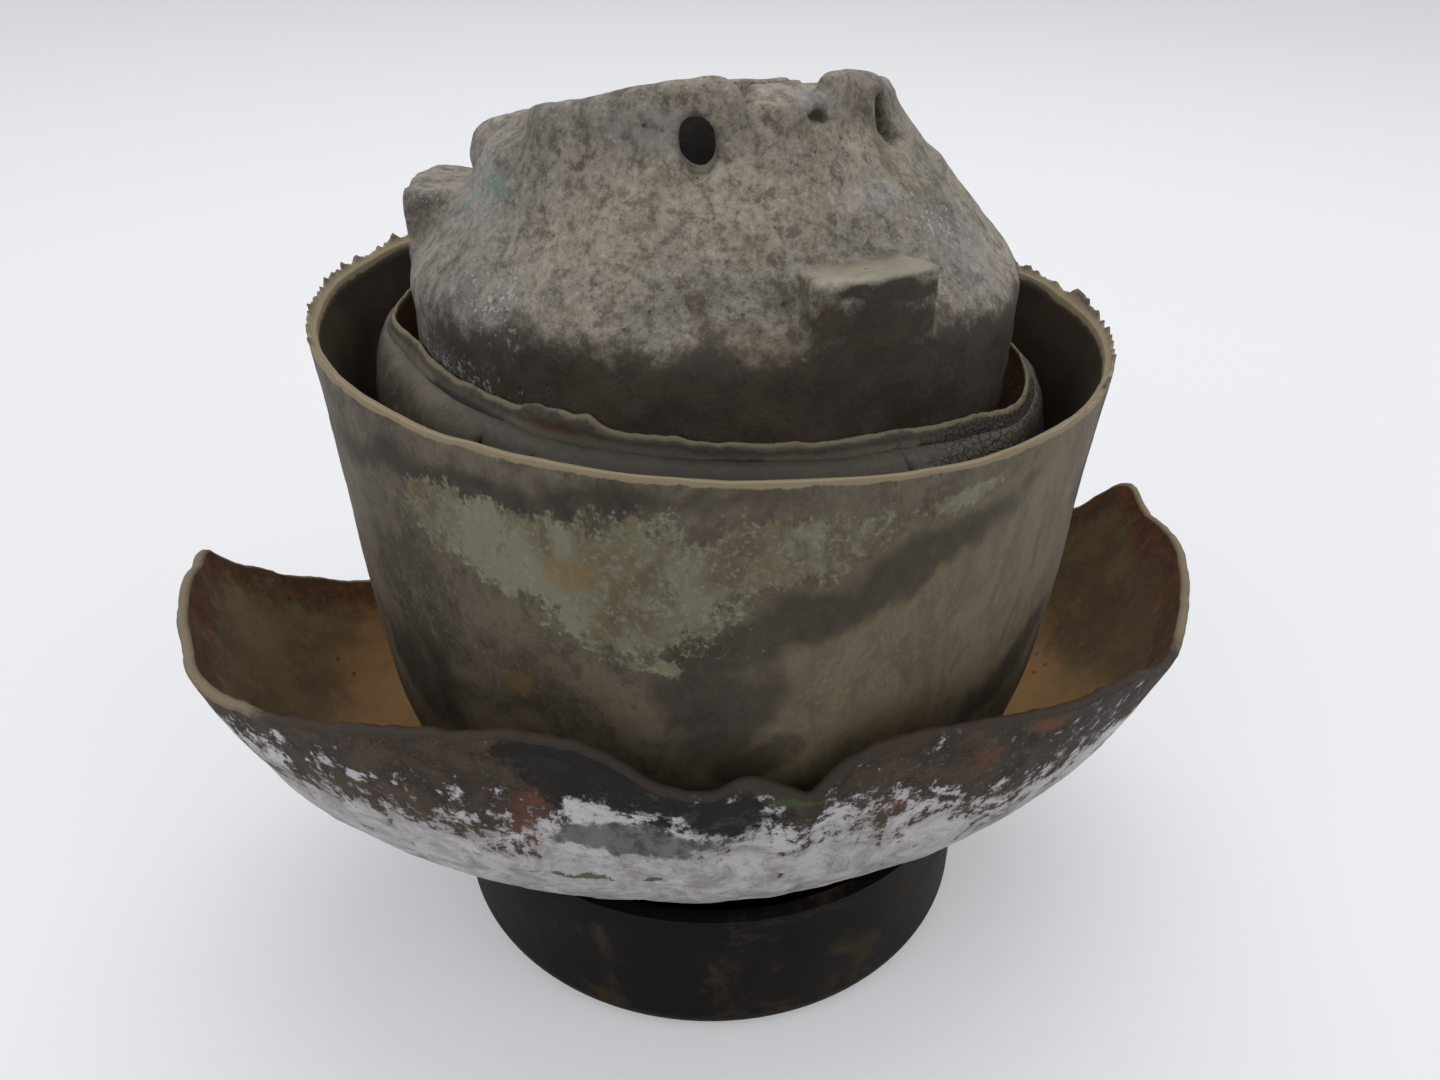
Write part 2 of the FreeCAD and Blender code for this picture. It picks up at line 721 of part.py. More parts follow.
def add_lugs(body):
    """Lugs flush with the wall, each with a flat ledge, and an arc inside and outside."""
    sketch = new_sketch(body, "lug_plan", "XY_Plane", "lug_top - lug_height")
    outer = size("wall_radius")
    inner = size("lug_inner_radius")
    spread = math.asin(size("lug_width") / 2 / outer)
    front = -math.pi / 2
    for radius in (outer, inner):
        ring = Part.Circle(Vector(0, 0, 0), Vector(0, 0, 1), radius)
        sketch.addGeometry(Part.ArcOfCircle(ring, front - spread, front + spread), False)
    for side in (-1, 1):
        way = Vector(side * math.sin(spread), -math.cos(spread), 0)
        sketch.addGeometry(Part.LineSegment(way * inner, way * outer), False)
    for arc, radius in ((0, "wall_radius"), (1, "lug_inner_radius")):
        sketch.addConstraint(Sketcher.Constraint("Coincident", arc, 3, -1, 1))
        fix_radius(sketch, arc, radius)
    for line, end in ((2, 1), (3, 2)):
        sketch.addConstraint(Sketcher.Constraint("Coincident", line, 1, 1, end))
        sketch.addConstraint(Sketcher.Constraint("Coincident", line, 2, 0, end))
        sketch.addConstraint(Sketcher.Constraint("PointOnObject", -1, 1, line))
    sketch.addConstraint(Sketcher.Constraint("Symmetric", 0, 1, 0, 2, -2))
    width = Sketcher.Constraint("DistanceX", 0, 1, 0, 2, size("lug_width"))
    bind(sketch, sketch.addConstraint(width), "lug_width")
    lug = body.newObject("PartDesign::Pad", "lug")
    lug.Profile = sketch
    lug.Length = size("lug_height")
    lug.setExpression("Length", bound("lug_height"))
    doc.recompute()
    around(body, "lugs", [lug], "lug_count")


def add_crown(body):
    """The steep cone and the crown's blank, lofted through circles that step sideways."""
    sketches = []
    for name, radius in (("cone", "cone_radius"), ("crown", "crown_radius"), ("blank", "crown_top_radius")):
        height = {"cone": "cone_height", "crown": "crown_foot", "blank": "crown_top"}[name]
        sketch = new_sketch(body, name + "_circle", "XY_Plane", height)
        across = "0" if name == "cone" else crown_shift_at(height)
        circle(sketch, radius, across)
        sketches.append(sketch)
    loft = body.newObject("PartDesign::AdditiveLoft", "crown_loft")
    loft.Profile = sketches[0]
    loft.Sections = sketches[1:]
    loft.Ruled = True
    doc.recompute()


def hollow_crown(body):
    """The recess inside the crown, the boss in its middle, and the slanted face across both."""
    recess = new_sketch(body, "recess_plan", "XY_Plane", "crown_top")
    circle(recess, "crown_top_radius - crown_wall", FACE_SHIFT)
    cut(body, "recess", recess, "crown_top - recess_floor")
    plan = new_sketch(body, "boss_plan", "XY_Plane", "face_height - boss_drop", "face_tilt")
    circle(plan, "boss_radius", FACE_SHIFT)
    boss = body.newObject("PartDesign::Pad", "boss")
    boss.Profile = plan
    boss.Length = size(BOSS_LENGTH)
    boss.setExpression("Length", bound(BOSS_LENGTH))
    boss.Reversed = True
    doc.recompute()
    face = new_sketch(body, "face_plan", "XY_Plane", "face_height", "face_tilt")
    circle(face, "wall_radius * 2")
    cut(body, "slanted_face", face, "crown_top", upward=True)
    seat = new_sketch(body, "insert_plan", "XY_Plane", "face_height - boss_drop", "face_tilt")
    circle(seat, "roof_insert_radius", FACE_SHIFT)
    cut(body, "insert_seat", seat, "roof_insert_length")


BOSS_LENGTH = "(face_height - boss_drop - recess_floor + boss_radius * 0.35)"


def slot_outline(sketch, radius, half):
    """An upright slot about the sketch's origin: two half circles and two lines."""
    reach = size(radius)
    rise = size(half)
    normal = Vector(0, 0, 1)
    for place, start in ((Vector(0, rise, 0), 0), (Vector(0, -rise, 0), math.pi)):
        ring = Part.Circle(place, normal, reach)
        sketch.addGeometry(Part.ArcOfCircle(ring, start, start + math.pi), False)
    for side in (-1, 1):
        top = Vector(side * reach, rise, 0)
        bottom = Vector(side * reach, -rise, 0)
        sketch.addGeometry(Part.LineSegment(top, bottom), False)
    for item, end, other, start in ((0, 2, 2, 1), (2, 2, 1, 1), (1, 2, 3, 2), (3, 1, 0, 1)):
        sketch.addConstraint(Sketcher.Constraint("Coincident", item, end, other, start))
    fix_point(sketch, 0, 3, "0", half)
    fix_point(sketch, 1, 3, "0", f"-1 * {half}")
    for arc in (0, 1):
        fix_radius(sketch, arc, radius)


def cut_vent(body, name, angle):
    """An upright oval vent through the crown's wall, turned about the crown's middle."""
    sketch = body.newObject("Sketcher::SketchObject", name + "_shape")
    sketch.AttachmentSupport = (origin_plane(body, "XZ_Plane"), [""])
    sketch.MapMode = "FlatFace"
    across = f"{FACE_SHIFT} + (boss_radius + 2) * sin({angle})"
    outward = f"(boss_radius + 2) * cos({angle})"
    place = Vector(size(across), size("vent_middle"), size(outward))
    sketch.AttachmentOffset = Placement(place, Rotation(Vector(0, 1, 0), size(angle)))
    sketch.setExpression("AttachmentOffset.Base.x", bound(across))
    sketch.setExpression("AttachmentOffset.Base.y", bound("vent_middle"))
    sketch.setExpression("AttachmentOffset.Base.z", bound(outward))
    slot_outline(sketch, "vent_width / 2", "((vent_height - vent_width) / 2)")
    cut(body, name, sketch, "crown_radius", upward=True)


def cut_key_notch(body):
    """The notch across the front of the slanted face."""
    sketch = new_sketch(body, "key_notch_plan", "XY_Plane", "face_height", "face_tilt")
    left = f"{FACE_SHIFT} - key_notch_width / 2"
    right = f"{FACE_SHIFT} + key_notch_width / 2"
    near = "-1 * crown_radius * 1.3"
    far = "-1 * (crown_radius - crown_wall - 3)"
    outline(sketch, [(left, near), (right, near), (right, far), (left, far)])
    cut(body, "key_notch", sketch, "key_notch_depth")


def make_housing():
    body = new_body("housing")
    turn(body, "bell", [
        ("cavity_radius", FLANGE_FOOT),
        (PLATE_RADIUS, FLANGE_FOOT),
        (PLATE_RADIUS, RING_TOP),
        ("wall_radius", RING_TOP),
        ("wall_radius", "shoulder_height"),
        ("cone_radius", "cone_height"),
        ("0", "cone_height"),
        ("0", "cavity_top"),
        ("cavity_top_radius", "cavity_top"),
        ("cavity_radius", "cavity_shoulder"),
    ])
    round_edges(body, "shoulder", "shoulder_round", ring_edge("wall_radius", "shoulder_height"))
    add_lugs(body)
    add_crown(body)
    hollow_crown(body)
    cut_vent(body, "left_vent", "vent_left_angle")
    cut_vent(body, "right_vent", "vent_right_angle")
    cut_key_notch(body)
    body.Placement = HOUSING_TURN
    return body


HOUSING_TURN = Placement(Vector(0, 0, 0), Rotation(Vector(0, 0, 1), size("housing_turn")))


def make_housing_insert():
    body = turned("housing_insert", [
        ("thread_radius", "0"),
        ("roof_insert_radius", "0"),
        ("roof_insert_radius", "-1 * roof_insert_length"),
        ("0", "-1 * roof_insert_length"),
        ("0", "-1 * roof_thread_depth"),
        ("thread_radius", "-1 * roof_thread_depth"),
    ])
    tilt = Rotation(Vector(1, 0, 0), -size("face_tilt"))
    across = size(FACE_SHIFT)
    seat = Placement(Vector(0, 0, size("face_height - boss_drop")), tilt)
    body.Placement = HOUSING_TURN * seat * Placement(Vector(across, 0, 0), Rotation())
    return body


# ---- build, check and write ----

SUB_PARTS = [
    make_base_cup(),
    make_spacer_sleeve(),
    make_heat_shield(),
    make_boot(),
    make_boot_clamp_ring(),
    make_inner_core(),
    make_core_insert(),
    make_main_spring(),
    make_outer_ring(),
    make_track_plate("lower_track_plate", LOWER_PLATE, -1),
    make_track_plate("upper_track_plate", UPPER_PLATE, 1),
    make_decoupler_disc(),
    make_track_rivets(),
    make_bellows(),
    make_bellows_ring(),
    make_housing(),
    make_housing_insert(),
]

doc.recompute()
for item in doc.Objects:
    if {"Invalid", "Error"} & set(item.State):
        raise ValueError(f"{item.Label}: {item.State}")

os.makedirs("parts", exist_ok=True)
for item in SUB_PARTS:
    shape = item.Shape
    if shape.isNull() or not shape.isValid():
        raise ValueError(f"{item.Label} has no valid shape")
    shape.exportStep(f"parts/{item.Label}.step")
    box = shape.BoundBox
    print(item.Label, len(shape.Solids), round(shape.Volume), round(box.ZMin, 2), round(box.ZMax, 2))
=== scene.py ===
"""Visual model of a worn hydraulic engine mount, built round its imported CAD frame."""

import math

import bpy
import numpy as np
from bpy.props import FloatProperty, FloatVectorProperty, PointerProperty
from mathutils import Matrix, Vector


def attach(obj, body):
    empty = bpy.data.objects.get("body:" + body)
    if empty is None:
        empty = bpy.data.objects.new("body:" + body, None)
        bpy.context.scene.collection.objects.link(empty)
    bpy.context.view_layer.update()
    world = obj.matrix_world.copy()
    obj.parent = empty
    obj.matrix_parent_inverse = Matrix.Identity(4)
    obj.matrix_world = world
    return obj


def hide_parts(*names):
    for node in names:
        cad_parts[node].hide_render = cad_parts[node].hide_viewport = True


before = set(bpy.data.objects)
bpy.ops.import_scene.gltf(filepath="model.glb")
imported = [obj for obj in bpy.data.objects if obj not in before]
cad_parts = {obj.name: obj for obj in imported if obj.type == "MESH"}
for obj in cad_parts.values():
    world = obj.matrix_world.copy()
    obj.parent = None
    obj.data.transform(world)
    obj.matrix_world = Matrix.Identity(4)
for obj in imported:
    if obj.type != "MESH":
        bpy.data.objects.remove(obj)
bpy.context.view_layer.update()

bl_info = {
    "name": "Hydraulic engine mount",
    "version": (1, 0, 0),
    "blender": (4, 5, 0),
    "location": "View3D > Sidebar > Engine mount",
    "description": "Makes the worn surfaces of a hydraulic engine mount round its CAD frame",
    "category": "Object",
}

MM = 0.001
BODY = "root"
# direction from the axis to the side that is looked at; bearings are measured from it
FRONT = math.radians(-100.3)


# ---- numbers on surfaces ----

def hashed(cells, seed):
    """A fixed number from -1 to 1 for each cell: its indices times large primes, bits mixed."""
    mixed = (cells * np.array([73856093, 19349663, 83492791])).sum(axis=-1) + seed * 40503
    mixed = (mixed ^ (mixed >> 13)) * 1274126177
    mixed = mixed ^ (mixed >> 16)
    return (mixed & 0xFFFF) / 32767.5 - 1


def lattice(points, cell, seed):
    """Value noise: fixed numbers at the corners of cubes of side cell, blended by smoothstep."""
    scaled = points / cell
    corner = np.floor(scaled).astype(np.int64)
    share = scaled - corner
    share = share * share * (3 - 2 * share)
    total = np.zeros(points.shape[:-1])
    for step in range(8):
        bits = np.array([step & 1, step >> 1 & 1, step >> 2 & 1])
        total += np.where(bits, share, 1 - share).prod(axis=-1) * hashed(corner + bits, seed)
    return total


def rough(points, cell, seed, octaves=3):
    """Value noise summed over octaves, each half as large and half as strong as the last."""
    levels = range(octaves)
    return sum(lattice(points, cell / 2 ** k, seed + k) / 2 ** k for k in levels)


def smooth_curve(at, knots, values, period=None):
    """Cubic Hermite through the knots, its slopes taken from the neighbours of each knot."""
    knots, values = np.asarray(knots, float), np.asarray(values, float)
    if period:
        order = np.argsort(knots % period)
        knots, values = (knots % period)[order], values[order]
        knots = np.concatenate([knots[-2:] - period, knots, knots[:2] + period])
        values = np.concatenate([values[-2:], values, values[:2]])
        at = at % period
    slopes = np.gradient(values, knots)
    at = np.clip(at, knots[0], knots[-1])
    left = np.clip(np.searchsorted(knots, at, side="right") - 1, 0, len(knots) - 2)
    width = knots[left + 1] - knots[left]
    t = (at - knots[left]) / width
    rise = values[left + 1] - values[left]
    bend = slopes[left] * width - rise
    back = rise - slopes[left + 1] * width
    return values[left] + t * rise + t * (1 - t) * ((1 - t) * bend + t * back)


def smoothstep(value, low, high):
    share = np.clip((value - low) / (high - low), 0, 1)
    return share * share * (3 - 2 * share)


def patch(across, up, centre, half, tilt=0):
    """1 at the centre of a tilted ellipse, 0 on its edge, -1 well outside, falling evenly."""
    c, s = math.cos(math.radians(tilt)), math.sin(math.radians(tilt))
    a, b = across - centre[0], up - centre[1]
    return np.maximum(1 - np.hypot((a * c + b * s) / half[0], (b * c - a * s) / half[1]), -1)


def patches(across, up, listed):
    """The union of several patches."""
    return np.max([patch(across, up, *entry) for entry in listed], axis=0)


def wandering(points, across, up, far):
    """Coordinates on a surface pushed about by noise, so that what is laid out in them is ragged."""
    across = across + far * (1.1 * rough(points, 9, 81) + 0.45 * rough(points, 2.4, 83))
    up = up + far * (0.8 * rough(points, 7, 85) + 0.35 * rough(points, 2, 87))
    return across, up


def turns(count):
    """Angles round the axis, and the bearing of each in degrees from -180 to 180."""
    angle = np.linspace(0, 2 * math.pi, count, endpoint=False)
    return angle, (np.degrees(angle - FRONT) + 180) % 360 - 180


def ring_points(radius, height, angle):
    """Cylinder coordinates in millimetres as points."""
    radius, height = np.broadcast_arrays(radius, height)
    return np.stack([radius * np.cos(angle), radius * np.sin(angle), height], axis=-1)


def add_mesh(name, points, faces, fields):
    """An object at the origin from points in millimetres, with float attributes."""
    a, b, c = (points[faces[:, k]] for k in (0, 1, 2))
    if (a * np.cross(b, c)).sum() < 0:
        faces = faces[:, ::-1]
    mesh = bpy.data.meshes.new(name)
    mesh.from_pydata((points * MM).tolist(), [], faces.tolist())
    mesh.polygons.foreach_set("use_smooth", np.ones(len(faces), bool))
    for label, values in fields.items():
        attribute = mesh.attributes.new(label, "FLOAT", "POINT")
        attribute.data.foreach_set("value", np.asarray(values, np.float32).ravel())
    mesh.update()
    piece = bpy.data.objects.new(name, mesh)
    bpy.context.scene.collection.objects.link(piece)
    return piece


def add_tube(name, grid, fields):
    """A closed skin over a grid of points whose rows and columns both run round."""
    rows, columns = grid.shape[:2]
    i, j = np.meshgrid(np.arange(rows), np.arange(columns), indexing="ij")
    down, right = (i + 1) % rows, (j + 1) % columns
    corners = [i * columns + j, i * columns + right, down * columns + right, down * columns + j]
    faces = np.stack([c.ravel() for c in corners], axis=-1)
    return add_mesh(name, grid.reshape(-1, 3), faces, fields)


def settle(piece, slot, finishes, *nodes):
    """Give a piece its finishes, let it ride on the body, and stand for its nodes; slot is not used."""
    for finish in finishes:
        piece.data.materials.append(finish)
    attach(piece, BODY)
    if nodes:
        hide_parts(*nodes)


# ---- finishes ----

def tone(red, green, blue):
    """A colour from 0 to 255 as it looks, as the linear values that a shader takes."""
    share = np.array([red, green, blue]) / 255
    linear = np.where(share <= 0.04045, share / 12.92, ((share + 0.055) / 1.055) ** 2.4)
    return (*linear.tolist(), 1.0)


class Wire:
    """A value socket of a finish; arithmetic on it adds Math nodes."""

    def __init__(self, finish, socket):
        self.finish, self.socket = finish, socket

    def math(self, operation, first, second):
        return self.finish.node("ShaderNodeMath", {"operation": operation}, [first, second])

    def __add__(self, other):
        return self.math("ADD", self, other)

    def __sub__(self, other):
        return self.math("SUBTRACT", self, other)

    def __rsub__(self, other):
        return self.math("SUBTRACT", other, self)

    def __mul__(self, other):
        return self.math("MULTIPLY", self, other)

    __radd__, __rmul__ = __add__, __mul__


class Finish:
    """A material under construction."""

    def __init__(self, name):
        self.material = bpy.data.materials.new(name)
        self.material.use_nodes = True
        self.tree = self.material.node_tree
        self.tree.nodes.clear()
        self.place = self.node("ShaderNodeTexCoord", {}, [], "Object")

    def node(self, kind, settings, inputs, output=0):
        """A node with its settings, then its inputs by place or name; returns an output."""
        made = self.tree.nodes.new(kind)
        for key, value in settings.items():
            setattr(made, key, value)
        pairs = inputs.items() if isinstance(inputs, dict) else enumerate(inputs)
        for key, value in pairs:
            if isinstance(value, Wire):
                self.tree.links.new(value.socket, made.inputs[key])
            else:
                made.inputs[key].default_value = value
        return Wire(self, made.outputs[output])

    def moved(self, shift, stretch=(1, 1, 1)):
        """Object coordinates shifted, so that two patterns don't repeat, and stretched."""
        return self.node("ShaderNodeMapping", {}, {
            "Vector": self.place, "Location": (shift, shift * 0.7, shift * 1.3), "Scale": stretch})

    def noise(self, size, shift=0.0, detail=4.0, roughness=0.55, stretch=(1, 1, 1), distort=0.0):
        """Noise from 0 to 1 whose largest lumps are size millimetres wide."""
        return self.node("ShaderNodeTexNoise", {"normalize": True}, {
            "Vector": self.moved(shift, stretch), "Scale": 1 / (size * MM), "Detail": detail,
            "Roughness": roughness, "Distortion": distort})

    def cells(self, size, shift=0.0, feature="F1", stretch=(1, 1, 1), output="Distance"):
        return self.node("ShaderNodeTexVoronoi", {"feature": feature}, {
            "Vector": self.moved(shift, stretch), "Scale": 1 / (size * MM)}, output)

    def field(self, name):
        return self.node("ShaderNodeAttribute", {"attribute_name": name}, [], "Fac")

    def height(self):
        """Height above the floor in millimetres."""
        return self.node("ShaderNodeSeparateXYZ", {}, [self.place], "Z") * (1 / MM)

    def step(self, value, low, high):
        """0 below low and 1 above high, smooth between."""
        return self.node("ShaderNodeMapRange", {"interpolation_type": "SMOOTHSTEP"}, {
            "Value": value, "From Min": low, "From Max": high})

    def mix(self, factor, first, second):
        """Colour between two, each a colour or a wire."""
        return self.node("ShaderNodeMix", {"data_type": "RGBA"}, {
            0: factor, 6: first, 7: second}, 2)

    def bump(self, height, distance, strength=1.0, normal=None):
        """Relief of height times distance millimetres."""
        inputs = {"Strength": strength, "Distance": distance * MM, "Height": height}
        if normal is not None:
            inputs["Normal"] = normal
        return self.node("ShaderNodeBump", {}, inputs)

    def shade(self, colour, roughness, normal, metallic=0.0, specular=0.5, **constants):
        inputs = {"Base Color": colour, "Roughness": roughness, "Normal": normal,
                  "Metallic": metallic, "Specular IOR Level": specular}
        inputs.update(constants)
        surface = self.node("ShaderNodeBsdfPrincipled", {}, inputs)
        return self.finished(surface)

    def finished(self, surface):
        out = self.tree.nodes.new("ShaderNodeOutputMaterial")
        self.tree.links.new(surface.socket, out.inputs["Surface"])
        return self.material


def rubber_boot(colours):
    """Weathered moulded rubber: worn grey-green where the skin has gone, dark elsewhere."""
    finish = Finish("weathered_boot_rubber")
    grain = finish.noise(0.9, 3.0, 5, 0.75)
    cloud = finish.noise(15, 1.0, 6, 0.6, distort=0.5)
    fine = finish.noise(3.2, 7.0, 6, 0.72, (1, 1, 0.7))
    brushed = finish.noise(5, 21, 6, 0.72, (1, 1, 0.4), 0.6)
    ragged = (fine - 0.5) * 2.6 + (grain - 0.5) * 2.2 + (brushed - 0.5)
    worn = finish.step(finish.field("worn") + ragged * 0.5, 0.0, 0.2)
    smear = finish.step(finish.field("smear") + (cloud - 0.5) * 1.6 + ragged * 0.3, -0.2, 0.5)
    pale = finish.step(finish.field("pale") + (cloud - 0.5) * 1.3 + ragged * 0.2, -0.4, 0.5)
    base = finish.mix(finish.step(cloud, 0.35, 0.65), colours.boot_dark, tone(62, 55, 46))
    base = finish.mix(finish.step(brushed, 0.5, 0.62) * 0.6, base, tone(98, 89, 77))
    base = finish.mix(finish.step(grain, 0.5, 0.62) * 0.4, base, tone(106, 98, 82))
    base = finish.mix(finish.step(fine, 0.47, 0.36) * 0.5, base, tone(48, 42, 36))
    dusty = finish.mix(finish.step(brushed, 0.42, 0.6), colours.boot_side, tone(88, 77, 59))
    dusty = finish.mix(finish.step(grain, 0.52, 0.64) * 0.4, dusty, tone(124, 112, 90))
    base = finish.mix(pale * 0.85, base, dusty)
    base = finish.mix(smear * 0.8, base, finish.mix(
        finish.step(fine, 0.4, 0.7), tone(38, 33, 28), tone(56, 49, 41)))
    shaded = finish.mix(finish.step(cloud, 0.4, 0.6), colours.boot_worn, tone(92, 84, 64))
    shaded = finish.mix(finish.step(brushed, 0.5, 0.62) * 0.8, shaded, tone(82, 73, 56))
    shaded = finish.mix(finish.step(grain, 0.5, 0.64) * 0.45, shaded, tone(134, 131, 112))
    base = finish.mix(worn, base, shaded)
    stain = finish.step(finish.field("stain") + ragged * 0.6, -0.1, 0.6)
    base = finish.mix(stain * 0.5, base, tone(112, 88, 52))
    freckle = finish.step(finish.cells(2.3, 5.0), 0.12, 0.05) * finish.step(fine, 0.52, 0.66)
    base = finish.mix(freckle * 0.6, base, tone(138, 130, 108))
    inside = finish.field("inside")
    base = finish.mix(inside, base, finish.mix(
        finish.step(cloud, 0.3, 0.7), tone(44, 35, 26), tone(62, 50, 37)))
    edge = finish.step(finish.field("edge") + (fine - 0.5) * 1.3 + (cloud - 0.5), 0.4, 0.7)
    base = finish.mix(edge * 0.92, base, colours.rubber_edge)
    base = finish.mix(finish.field("flash"), base, finish.mix(
        finish.step(grain, 0.4, 0.6), tone(60, 51, 40), tone(98, 86, 66)))
    relief = grain * 0.5 + fine * 0.5 + worn * 0.6 - freckle * 0.6
    return finish.shade(base, 0.62 + (cloud - 0.5) * 0.25 + worn * 0.14,
                        finish.bump(relief, 0.2, 0.6), specular=0.3)


def rubber_spring(colours):
    """Old natural rubber: dark grey mottled with dusty grey, with crazing, a tan lip and rust marks."""
    finish = Finish("aged_spring_rubber")
    grain = finish.noise(0.8, 13.0, 6, 0.75)
    cloud = finish.noise(8, 4.0, 6, 0.65, distort=0.6)
    base = finish.mix(finish.step(cloud, 0.38, 0.68), colours.spring_dark, tone(92, 84, 74))
    base = finish.mix(finish.step(grain, 0.5, 0.64) * 0.45, base, tone(108, 98, 84))
    craze = finish.cells(1.3, 2.0, "DISTANCE_TO_EDGE", (1, 1, 1.4))
    cracked = finish.step(finish.field("crazed") + (cloud - 0.5) * 1.2, 0.0, 0.4)
    lines = finish.step(craze + (grain - 0.5) * 0.1, 0.09, 0.02) * cracked
    base = finish.mix(cracked * 0.4, base, tone(40, 35, 31))
    base = finish.mix(lines * 0.9, base, tone(20, 17, 15))
    rust = finish.step(finish.field("rust") + (cloud - 0.5) * 1.4, 0.1, 0.6)
    base = finish.mix(rust, base, tone(84, 58, 40))
    lip = finish.step(finish.field("lip") + (cloud - 0.5) * 1.6 + (grain - 0.5) * 0.6, 0.5, 0.8)
    base = finish.mix(lip * 0.55, base, colours.rubber_edge)
    shaded = finish.step(finish.field("shaded") + (cloud - 0.5), -0.2, 0.8)
    base = finish.mix(shaded * 0.7, base, tone(36, 33, 28))
    split = finish.step(finish.field("split") + (cloud - 0.5) * 0.5, 0.3, 0.7)
    base = finish.mix(split * 0.95, base, tone(17, 14, 12))
    relief = grain * 0.6 - lines * 1.6 + cloud * 0.6
    return finish.shade(base, 0.55 + (grain - 0.5) * 0.3, finish.bump(relief, 0.25, 0.65),
                        specular=0.3)


def cast_metal(colours):
    """Weathered cast aluminium: grey-brown mottling, white bloom, bluish oxide, brown dirt, painted shade
    and highlight.
    """
    finish = Finish("weathered_casting")
    grain = finish.noise(0.8, 1.0, 6, 0.8)
    speck = finish.noise(1.9, 9.0, 6, 0.78)
    blotch = finish.noise(7, 5.0, 6, 0.7, distort=0.4)
    cloud = finish.noise(24, 2.0, 5, 0.6)
    base = finish.mix(finish.step(blotch, 0.4, 0.6), colours.casting_shade, colours.casting_pale)
    base = finish.mix(finish.step(cloud, 0.45, 0.65) * 0.5, base, tone(134, 133, 128))
    olive = finish.step(finish.noise(5, 31.0, 5, 0.7), 0.52, 0.66)
    base = finish.mix(olive * 0.5, base, tone(118, 110, 86))
    base = finish.mix(finish.step(speck, 0.5, 0.6) * 0.6, base, tone(100, 90, 80))
    base = finish.mix(finish.step(grain, 0.53, 0.62) * 0.65, base, tone(172, 167, 154))
    base = finish.mix(finish.step(grain, 0.46, 0.37) * 0.65, base, tone(84, 76, 67))
    oxide = finish.step(finish.field("oxide") + (blotch - 0.5) * 2 + (speck - 0.5) * 1.5, -0.1, 0.7)
    base = finish.mix(oxide * 0.42, base, tone(144, 146, 150))
    brown = finish.step(finish.field("stain") + (blotch - 0.5) * 2 + (speck - 0.5), -0.1, 0.8)
    base = finish.mix(brown * 0.5, base, tone(96, 78, 58))
    # dirt and painted shade: this mask darkens the casting towards its bottom and in the shrinkage pits,
    # and lays painted shadow under the lug's ledge and painted shade on the lug's face
    grime_and_shade = finish.step(finish.field("grime_and_shade") + (cloud - 0.5) * 1.4 + (blotch - 0.5) * 1.6
                        + (speck - 0.5) * 1.4, -0.4, 0.6)
    dirt = finish.mix(finish.step(blotch, 0.35, 0.65), tone(32, 24, 16), tone(52, 41, 29))
    dirt = finish.mix(finish.step(speck, 0.56, 0.68) * 0.3, dirt, tone(96, 86, 70))
    base = finish.mix(grime_and_shade * 0.96, base, dirt)
    # painted highlight: the lug's upward-facing top ledge is lightened where the light from above falls
    # on it
    ledge_highlight = finish.field("ledge_highlight") * finish.step(speck, 0.3, 0.6)
    base = finish.mix(ledge_highlight * 0.5, base, tone(166, 158, 140))
    paint = finish.step(finish.field("paint") + (speck - 0.5) * 2.2, 0.0, 0.4)
    base = finish.mix(paint * 0.55, base, tone(84, 128, 108))
    flecks = finish.step(finish.field("bloom") * 0.11 + speck * 0.5 + grain * 0.6, 0.62, 0.72)
    base = finish.mix(flecks * 0.6, base, tone(176, 178, 178))
    pit = finish.step(finish.cells(2.2, 8.0), 0.16, 0.07) * finish.step(speck, 0.5, 0.6)
    base = finish.mix(pit * 0.7, base, tone(50, 43, 36))
    # painted shade: the crown's hollow below its top face is darkened nearly to black
    hollow_shade = finish.step(finish.field("hollow_shade"), 0.2, 0.8)
    base = finish.mix(hollow_shade * 0.95, base, tone(28, 23, 19))
    relief = grain * 0.8 + speck * 0.9 - pit * 1.2 + flecks * 0.5
    return finish.shade(base, 0.64 + (grain - 0.5) * 0.35,
                        finish.bump(relief, 0.32, 0.7), 0.22 - grime_and_shade * 0.2, 0.4)


